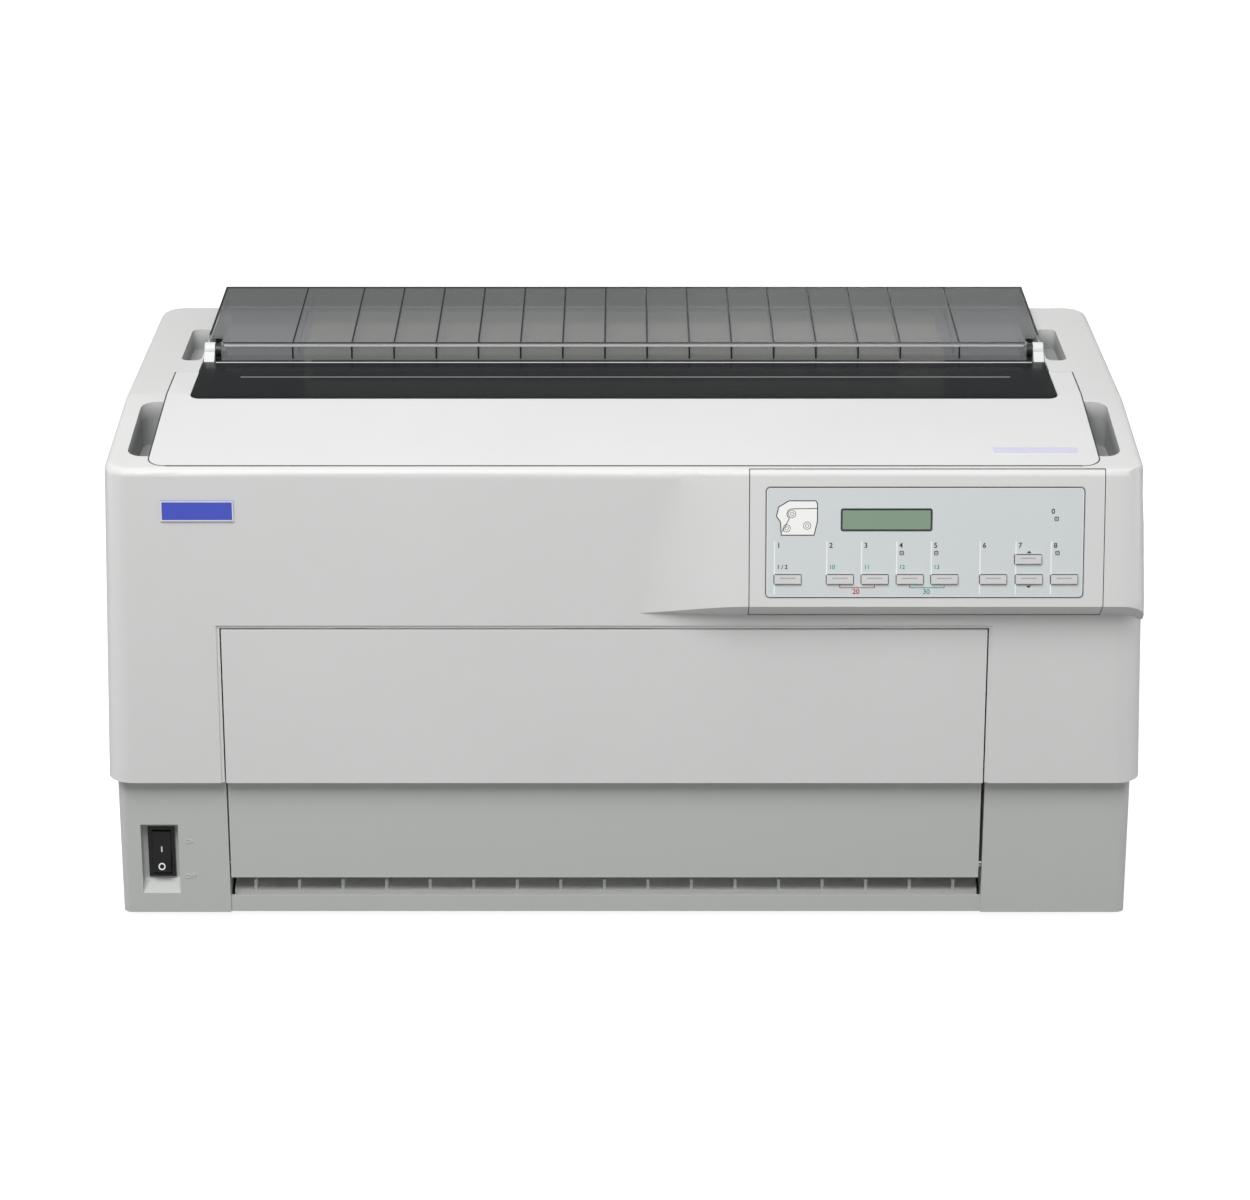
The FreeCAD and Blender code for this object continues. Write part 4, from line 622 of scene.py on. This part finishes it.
class PRINTER_OT_seams(bpy.types.Operator):
    """Lay dark shadow strips in the seams round the top cover and the control panel"""
    bl_idname = "printer.seams"
    bl_label = "Seams"
    lift = 0.03 * MM
    thick = 0.1 * MM

    def execute(self, context):
        dark = moulded("seam_shadow", context.scene.printer_colours.seam, 0.8, **SMOOTH)
        self.cover_seam(dark)
        self.panel_seam(dark)
        return {"FINISHED"}

    def cover_seam(self, dark):
        """Bands on the roof along the cover's outline, round its front corners by a sine and cosine"""
        side, front, rear, radius = 314.8 * MM, -165.3 * MM, 7.8 * MM, 12.3 * MM
        front_width, side_width = 1.7 * MM, 0.9 * MM
        turn = np.linspace(0, pi / 2, 9)
        bend = np.column_stack([side - radius + radius * np.sin(turn),
                                front + radius - radius * np.cos(turn)])
        right = np.vstack([bend, [(side, ROOF_KINK), (side, rear)]])
        mirror = np.array([-1, 1])
        runs = (("cover_seam_front", np.array([bend[0] * mirror, bend[0]]), front_width),
                ("cover_seam_right", right, side_width),
                ("cover_seam_left", right[::-1] * mirror, side_width))
        for name, path, width in runs:
            points, faces = strip(path, width, False)
            place = np.column_stack([points, roof_height(points[:, 1]) + self.lift])
            thicken(new_piece(name, place, faces, dark, "chassis"), self.thick, -1.0)

    def panel_seam(self, dark):
        """Bands in the gaps at both ends and along the top of the panel insert"""
        left, right = 82.7 * MM, 316.8 * MM
        foot, head = 227.0 * MM, 323.5 * MM
        half, inwards, sunk = 0.25 * MM, 0.9 * MM, 0.7 * MM
        count = 40
        heights = np.linspace(foot, head, count)
        first = np.arange(count - 1)
        faces = np.stack([first, first + count, first + 1 + count, first + 1], axis=1)
        for name, x, side in (("panel_seam_left", left, 1), ("panel_seam_right", right, -1)):
            insert = np.full(count, x + side * inwards)
            depth = front_of("control_panel_bezel", insert, heights) + sunk
            near = np.column_stack([np.full(count, x - half), depth, heights])
            far = near + np.array([2 * half, 0.0, 0.0])
            thicken(new_piece(name, np.vstack([near, far]), faces, dark, "chassis"), self.thick)
        front, rear, probe = -170.5 * MM, -169.0 * MM, 200.0 * MM
        overlap = 0.3 * MM
        low = top_of("control_panel_bezel", probe, front) + self.lift
        high = top_of("upper_housing", probe, rear) + self.lift
        place = [(left - overlap, front, low), (right + overlap, front, low),
                 (right + overlap, rear, high), (left - overlap, rear, high)]
        piece = new_piece("panel_seam_top", place, [(0, 1, 2, 3)], dark, "chassis")
        thicken(piece, self.thick, -1.0)


class PRINTER_OT_panel_parts(bpy.types.Operator):
    """Finish the label, display, buttons, lamps, badge and panel board"""
    bl_idname = "printer.panel_parts"
    bl_label = "Panel parts"

    def execute(self, context):
        colours = context.scene.printer_colours
        display = moulded("display_pane", colours.display, 0.22, grain_scale=3000.0, height=0.03, spread=0.03)
        keycap = moulded("keycap", colours.button, 0.4, grain_scale=2200.0, height=0.12)
        label = moulded("label_film", colours.label, 0.42, grain_scale=2500.0, height=0.08, spread=0.006)
        dress("panel_label", label, False)
        for node in BUTTONS:
            dress(node, keycap, False)
        dress("lcd_display", display, False)
        dress("indicator_lamps", moulded("lamp_lens", (0.42, 0.44, 0.43), 0.25, **SMOOTH))
        dress("badge_plate", moulded("badge_gloss", colours.badge, 0.22, spread=0.03, **SMOOTH), False)
        dress("panel_board", moulded("board_coating", BOARD_GREEN, roughness=0.35))
        return {"FINISHED"}


class PRINTER_OT_panel_marks(bpy.types.Operator):
    """Print plain numerals, lines, brackets, triangles and a simple side view on the label"""
    bl_idname = "printer.panel_marks"
    bl_label = "Panel marks"

    def execute(self, context):
        sizes = context.scene.printer_sizes
        colours = context.scene.printer_colours
        plane = PanelPlane(sizes.label_thick)
        ink, pale, teal, red = [Marks(plane, sizes.ink_rise) for each in range(4)]
        self.numerals(sizes, ink, teal)
        self.leads(sizes, pale)
        self.pairs(sizes, red, teal)
        self.arrows(ink)
        self.outlines(plane, sizes)
        self.key_lines(plane, sizes)
        self.side_view(plane, sizes)
        for marks, name, tone in ((ink, "dark", colours.ink), (pale, "pale", colours.hairline),
                                  (teal, "teal", colours.teal), (red, "red", colours.red)):
            marks.make("marks_" + name, moulded("ink_" + name, tone, spread=0.02, **PRINTED), "label")
        return {"FINISHED"}

    def numerals(self, sizes, ink, teal):
        """Numbers high over the keys, small ones close over some of them, and one over the lone lamp"""
        caption_z, small_z = 274.3 * MM, 260.3 * MM
        lamp_x, lamp_z = 281.6 * MM, 296.6 * MM
        step_in = 1.6 * MM
        small_numbers = {2: "10", 3: "11", 4: "12", 5: "13"}
        for number, name in enumerate(BUTTONS[:8], 1):
            left = key_centre(name)[0] - KEY_WIDE / 2 + step_in
            ink.text(str(number), left, caption_z, sizes.digit_height)
            if number in small_numbers:
                teal.text(small_numbers[number], left, small_z, sizes.small_height)
        first = key_centre("button_1")[0] - KEY_WIDE / 2 + step_in
        ink.text("1 / 2", first, small_z, sizes.small_height)
        ink.text("0", lamp_x, lamp_z, sizes.digit_height)

    def leads(self, sizes, pale):
        """Upright pale lines down to the keys' left edges, and on below the keys at both ends of the row"""
        top, foot, gap = 278.5 * MM, 243.6 * MM, 0.5 * MM
        long_leads = (1, 6, 7, 8)
        for number, name in enumerate(BUTTONS[:8], 1):
            left = key_centre(name)[0] - KEY_WIDE / 2
            pale.line([(left, top), (left, ROW_Z + KEY_TALL / 2)], sizes.hairline_width)
            if number in long_leads:
                pale.line([(left, ROW_Z - KEY_TALL / 2 - gap), (left, foot)], sizes.hairline_width)

    def pairs(self, sizes, red, teal):
        """Brackets that join two keys from below, each with its number"""
        high, low, width = 249.9 * MM, 248.0 * MM, 0.5 * MM
        number_z = 243.9 * MM
        for marks, one, other, number, place in ((red, "button_2", "button_3", "20", 151.0 * MM),
                                                 (teal, "button_4", "button_5", "30", 197.5 * MM)):
            left, right = key_centre(one)[0], key_centre(other)[0]
            marks.line([(left, high), (left, low), (right, low), (right, high)], width)
            marks.text(number, place, number_z, sizes.digit_height)

    def arrows(self, ink):
        """Triangles over the lone key and under the key below it, as tall as half their base"""
        middle = key_centre("button_7")[0]
        half = 1.7 * MM
        over, under = 270.6 * MM, 249.4 * MM
        ink.area([(middle - half, over), (middle + half, over), (middle, over + half)])
        ink.area([(middle - half, under), (middle, under - half), (middle + half, under)])

    def outlines(self, plane, sizes):
        """Dark lines round the label, display, buttons and lamps, and a pale line inside the label's edge;
        round the buttons the dark line is partly print and partly painted shade in their gaps
        """
        dark = Marks(plane, sizes.ink_rise)
        pale = Marks(plane, sizes.ink_rise)
        label = (plane.left, plane.right, 241.3 * MM, 314.1 * MM)
        display = (143.5 * MM, 202.7 * MM, 285.7 * MM, 299.4 * MM)
        low, high, lamp_half = 270.8 * MM, 293.2 * MM, 1.0 * MM
        lamps = ((183.3 * MM, low), (206.1 * MM, low), (286.1 * MM, low), (285.1 * MM, high))
        dark.line(rounded_path(*label, radius=3.0 * MM, inset=0.35 * MM), 0.55 * MM, True)
        pale.line(rounded_path(*label, radius=3.0 * MM, inset=0.95 * MM), 0.45 * MM, True)
        dark.line(rounded_path(*display, radius=1.0 * MM, inset=-0.3 * MM), 0.8 * MM, True)
        # Round each key the dark line is partly printed outline and partly painted shade in the gap round the
        # key
        for name in BUTTONS:
            key = around(key_centre(name), KEY_WIDE / 2, KEY_TALL / 2)
            dark.line(rounded_path(*key, radius=0.4 * MM, inset=-0.25 * MM), 0.62 * MM, True)
        for place in lamps:
            lamp = around(place, lamp_half, lamp_half)
            dark.line(rounded_path(*lamp, radius=0.2 * MM, inset=-0.25 * MM), 0.4 * MM, True)
        dark_ink = moulded("outline_dark", (0.045, 0.047, 0.05), spread=0.02, **PRINTED)
        pale_ink = moulded("outline_pale", (0.82, 0.84, 0.85), spread=0.02, **PRINTED)
        dark.make("outlines_dark", dark_ink, "label")
        pale.make("outlines_pale", pale_ink, "label")

    def key_lines(self, plane, sizes):
        """Thin grey line across the upper half of each keycap, painted shade standing in for a groove"""
        made = moulded("keycap_groove_shade", (0.30, 0.30, 0.30), **PRINTED)
        half, up = 5.0 * MM, 0.9 * MM
        proud, thick = 1.6 * MM, 0.05 * MM
        for name in BUTTONS:
            x, z = key_centre(name)
            points, faces = strip([(x - half, z + up), (x + half, z + up)], sizes.line_width, False)
            lifted = plane.place(points[:, 0], points[:, 1], proud)
            thicken(new_piece(name + "_line", lifted, faces, made, name), thick)

    def side_view(self, plane, sizes):
        """Generic side view of a paper path: a plain case outline, three rollers and a sheet between them"""
        left, right, low, high = 100.5 * MM, 127.5 * MM, 282.5 * MM, 305.0 * MM
        rim, hub, sheet = 2.4 * MM, 1.1 * MM, 3.3 * MM
        case_shares = ((0.12, 0.0), (0.10, 0.38), (0.0, 0.55), (0.05, 0.82), (0.30, 1.0), (0.96, 1.0),
                       (1.0, 0.92), (1.0, 0.40), (0.92, 0.0))
        roller_shares = ((0.38, 0.62), (0.25, 0.20), (0.75, 0.28))
        end_shares = ((1.0, 0.78), (0.14, 0.1))

        def spots(shares):
            return np.array([left, low]) + np.array(shares) * np.array([right - left, high - low])

        case = spots(case_shares)
        thick, thin = sizes.line_width * 1.3, sizes.line_width * 0.7
        fill = Marks(plane, sizes.ink_rise / 2)
        fill.area(case)
        fill.make("diagram_fill", moulded("ink_fill", (0.93, 0.93, 0.91), **PRINTED), "label")
        lines = Marks(plane, sizes.ink_rise)
        lines.line(case, thick, True)
        rollers = spots(roller_shares)
        for x, z in rollers:
            lines.line(circle(x, z, rim), thin, True)
            lines.line(circle(x, z, hub), sizes.line_width * 0.6, True)
        start, end = spots(end_shares)
        bend = circle(rollers[0][0], rollers[0][1], sheet, 24)[6:17]
        lines.line(np.vstack([start, bend, end]), sizes.line_width)
        lines.make("diagram_lines", moulded("ink_line", (0.03, 0.03, 0.035), **PRINTED), "label")


class PRINTER_OT_badge_rim(bpy.types.Operator):
    """Bright rim round the blank badge"""
    bl_idname = "printer.badge_rim"
    bl_label = "Badge rim"

    def execute(self, context):
        width = context.scene.printer_sizes.badge_rim
        low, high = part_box("badge_plate")
        plate_thick = 1.0 * MM
        proud, thick = 0.02 * MM, 0.15 * MM
        lean = (high.y - low.y - plate_thick) / (high.z - low.z)
        inset = width / 2
        left, right, foot, top = low.x + inset, high.x - inset, low.z + inset, high.z - inset
        points, faces = strip([(left, foot), (right, foot), (right, top), (left, top)], width, True)
        depth = low.y + lean * (points[:, 1] - low.z) - proud
        silver = moulded("badge_silver", (0.78, 0.78, 0.76), 0.25, **SMOOTH)
        place = np.column_stack([points[:, 0], depth, points[:, 1]])
        thicken(new_piece("badge_rim", place, faces, silver, "chassis"), thick)
        return {"FINISHED"}


class PRINTER_OT_power_switch(bpy.types.Operator):
    """Finish the switch, with its line and circle marks and the raised words beside it"""
    bl_idname = "printer.power_switch"
    bl_label = "Power switch"

    def execute(self, context):
        black = moulded("switch_black", (0.012, 0.012, 0.013), 0.3, grain_scale=2000.0, height=0.1)
        dress("power_switch_body", black)
        dress("power_rocker", black)
        self.rocker_marks()
        self.words(context.scene.printer_colours.base)
        return {"FINISHED"}

    def rocker_marks(self):
        """Upright line and circle, laid on the rocker's two slopes"""
        white = moulded("switch_white", (0.85, 0.85, 0.85), **PRINTED)
        centre, on_z, off_z = -316.9 * MM, 48.6 * MM, 36.9 * MM
        reach, width, proud = 2.0 * MM, 0.9 * MM, 0.06 * MM
        front = UprightFront("power_rocker")
        line = [(centre, on_z - reach), (centre, on_z + reach)]
        for name, path, closed in (("switch_mark_on", line, False),
                                   ("switch_mark_off", circle(centre, off_z, reach), True)):
            points, faces = strip(path, width, closed)
            place = front.place(points[:, 0], points[:, 1], proud)
            thicken(new_piece(name, place, faces, white, "power_rocker"), proud)

    def words(self, base):
        """Words for both positions, raised from the base, in the base's colour made a little lighter as
        painted highlight
        """
        height, rise, lighter = 4.4 * MM, 0.4 * MM, 1.12
        raised = Marks(UprightFront("base_tray"), rise)
        for word, x, z in (("ON", -299.7 * MM, 56.7 * MM), ("OFF", -300.8 * MM, 30.6 * MM)):
            raised.text(word, x, z, height)
        # Painted highlight: the words take the base colour lightened
        tone = [min(1.0, part * lighter) for part in base]
        raised.make("switch_words", moulded("raised_words_highlight", tone), "base")


class PRINTER_OT_mechanism(bpy.types.Operator):
    """Finish the frames, rods, motors, carriage, tractors and electronics"""
    bl_idname = "printer.mechanism"
    bl_label = "Mechanism"

    def execute(self, context):
        groups = (
            (metal("rod_chrome", (0.66, 0.67, 0.68), 0.16, (0.05, 1.0, 1.0)),
             ("platen_shaft", "guide_rods", "front_tractor_shaft", "rear_tractor_shaft", "tractor_rods",
              "door_pins")),
            (metal("zinc_sheet", (0.48, 0.49, 0.50), 0.38),
             ("side_frame_left", "side_frame_right", "power_supply", "tear_bar")),
            (moulded("roller_rubber", (0.03, 0.03, 0.03), 0.7, grain_scale=1200.0, height=0.3),
             ("platen_roller", "carriage_belt")),
            (moulded("acetal", (0.72, 0.70, 0.62), 0.4), ("platen_gear", "motor_pinion", "idler_pulley")),
            (moulded("inner_black", (0.03, 0.03, 0.032), 0.45),
             ("carriage", "ribbon_cartridge", "ac_inlet", "interface_ports", "front_tractor_left",
              "front_tractor_right", "rear_tractor_left", "rear_tractor_right")),
            (moulded("motor_paint", (0.035, 0.035, 0.038), 0.35), ("feed_motors", "carriage_motor")),
            (metal("head_alloy", (0.42, 0.43, 0.44), 0.45), ("print_head", "drive_pulley")),
            (moulded("ribbon_nylon", (0.01, 0.01, 0.012), 0.85, grain_scale=4000.0, height=0.6),
             ("inked_ribbon",)),
            (moulded("main_board_coating", BOARD_GREEN, 0.35), ("main_board",)),
        )
        for made, nodes in groups:
            for node in nodes:
                dress(node, made)
        return {"FINISHED"}


# Area lights: name, place, target, size and power
LIGHTS = (("key", (-0.5, -1.6, 2.45), (0.0, -0.1, 0.25), 1.6, 72.0),
          ("fill", (2.6, -1.6, 1.6), (0.0, 0.0, 0.2), 2.0, 8.0),
          ("top", (0.0, 0.7, 3.0), (0.0, 0.0, 0.2), 2.4, 13.0),
          ("right", (2.4, 0.1, 0.28), (0.0, 0.0, 0.2), 0.5, 12.0),
          ("left", (-2.4, 0.1, 0.28), (0.0, 0.0, 0.2), 0.5, 12.0),
          ("rear", (0.3, 2.4, 0.26), (0.0, 0.1, 0.2), 0.5, 24.0))
WHITE = (1.0, 1.0, 1.0, 1.0)


def by_camera(tree, others, camera):
    """Shader that is one thing to the camera's own rays and another to all others"""
    path = add(tree, "ShaderNodeLightPath")
    mix = add(tree, "ShaderNodeMixShader")
    tree.links.new(path.outputs["Is Camera Ray"], mix.inputs[0])
    tree.links.new(others.outputs[0], mix.inputs[1])
    tree.links.new(camera.outputs[0], mix.inputs[2])
    return mix.outputs[0]


class PRINTER_OT_stage(bpy.types.Operator):
    """Pale floor, soft studio light and the camera"""
    bl_idname = "printer.stage"
    bl_label = "Stage"

    def execute(self, context):
        scene = context.scene
        self.camera(scene)
        self.floor(scene)
        for light in LIGHTS:
            self.light(scene, *light)
        self.world(scene)
        scene.view_settings.view_transform = "Standard"
        return {"FINISHED"}

    def camera(self, scene):
        """Camera in front of the printer, looking down at it"""
        sizes = scene.printer_sizes
        camera = bpy.data.cameras.new("camera")
        camera.sensor_width = 36.0
        camera.lens = sizes.camera_lens / MM
        camera.clip_end = 50.0
        holder = bpy.data.objects.new("camera", camera)
        holder.location = (sizes.camera_x, -sizes.camera_back, sizes.camera_up)
        holder.rotation_euler = (pi / 2 - sizes.camera_tilt, 0.0, 0.0)
        scene.collection.objects.link(holder)
        scene.camera = holder

    def floor(self, scene):
        """Level square, corners at plus and minus half its side, that glows white to the camera"""
        half = 6.0
        mesh = bpy.data.meshes.new("floor")
        mesh.from_pydata([(-half, -half, 0), (half, -half, 0), (half, half, 0), (-half, half, 0)], [],
                         [(0, 1, 2, 3)])
        floor = bpy.data.objects.new("floor", mesh)
        scene.collection.objects.link(floor)
        made = bpy.data.materials.new("floor_paper")
        made.use_nodes = True
        tree = made.node_tree
        tree.nodes.clear()
        out = add(tree, "ShaderNodeOutputMaterial")
        matt = add(tree, "ShaderNodeBsdfDiffuse", Color=(0.36, 0.36, 0.36, 1.0))
        glow = add(tree, "ShaderNodeEmission", Color=WHITE, Strength=0.92)
        both = add(tree, "ShaderNodeAddShader")
        tree.links.new(matt.outputs[0], both.inputs[0])
        tree.links.new(glow.outputs[0], both.inputs[1])
        tree.links.new(by_camera(tree, matt, both), out.inputs["Surface"])
        mesh.materials.append(made)

    def light(self, scene, name, place, target, size, power):
        """Square area light turned towards its target"""
        lamp = bpy.data.lights.new(name, "AREA")
        lamp.size = size
        lamp.energy = power
        holder = bpy.data.objects.new(name, lamp)
        holder.location = place
        holder.rotation_euler = (Vector(target) - Vector(place)).to_track_quat("-Z", "Y").to_euler()
        scene.collection.objects.link(holder)

    def world(self, scene):
        """Even grey light, and plain white where the camera looks past the object"""
        world = bpy.data.worlds.new("studio")
        world.use_nodes = True
        tree = world.node_tree
        tree.nodes.clear()
        out = add(tree, "ShaderNodeOutputWorld")
        soft = add(tree, "ShaderNodeBackground", Color=WHITE, Strength=0.22)
        white = add(tree, "ShaderNodeBackground", Color=WHITE, Strength=1.0)
        tree.links.new(by_camera(tree, soft, white), out.inputs["Surface"])
        scene.world = world


class PRINTER_PT_sidebar(bpy.types.Panel):
    """Buttons for each group of pieces"""
    bl_label = "Printer"
    bl_idname = "PRINTER_PT_sidebar"
    bl_space_type = "VIEW_3D"
    bl_region_type = "UI"
    bl_category = "Printer"

    def draw(self, context):
        for operator in OPERATORS:
            self.layout.operator(operator.bl_idname)


OPERATORS = (PRINTER_OT_stage, PRINTER_OT_casing, PRINTER_OT_smoked_parts, PRINTER_OT_seams,
             PRINTER_OT_panel_parts, PRINTER_OT_panel_marks, PRINTER_OT_badge_rim,
             PRINTER_OT_power_switch, PRINTER_OT_mechanism)
CLASSES = (PrinterColours, PrinterSizes) + OPERATORS + (PRINTER_PT_sidebar,)


def register():
    for made in CLASSES:
        bpy.utils.register_class(made)
    bpy.types.Scene.printer_colours = bpy.props.PointerProperty(type=PrinterColours)
    bpy.types.Scene.printer_sizes = bpy.props.PointerProperty(type=PrinterSizes)


def unregister():
    del bpy.types.Scene.printer_sizes
    del bpy.types.Scene.printer_colours
    for made in reversed(CLASSES):
        bpy.utils.unregister_class(made)


def main():
    register()
    bpy.ops.printer.stage()
    bpy.ops.printer.casing()
    bpy.ops.printer.smoked_parts()
    bpy.ops.printer.seams()
    bpy.ops.printer.panel_parts()
    bpy.ops.printer.panel_marks()
    bpy.ops.printer.badge_rim()
    bpy.ops.printer.power_switch()
    bpy.ops.printer.mechanism()


if __name__ == "__main__":
    main()
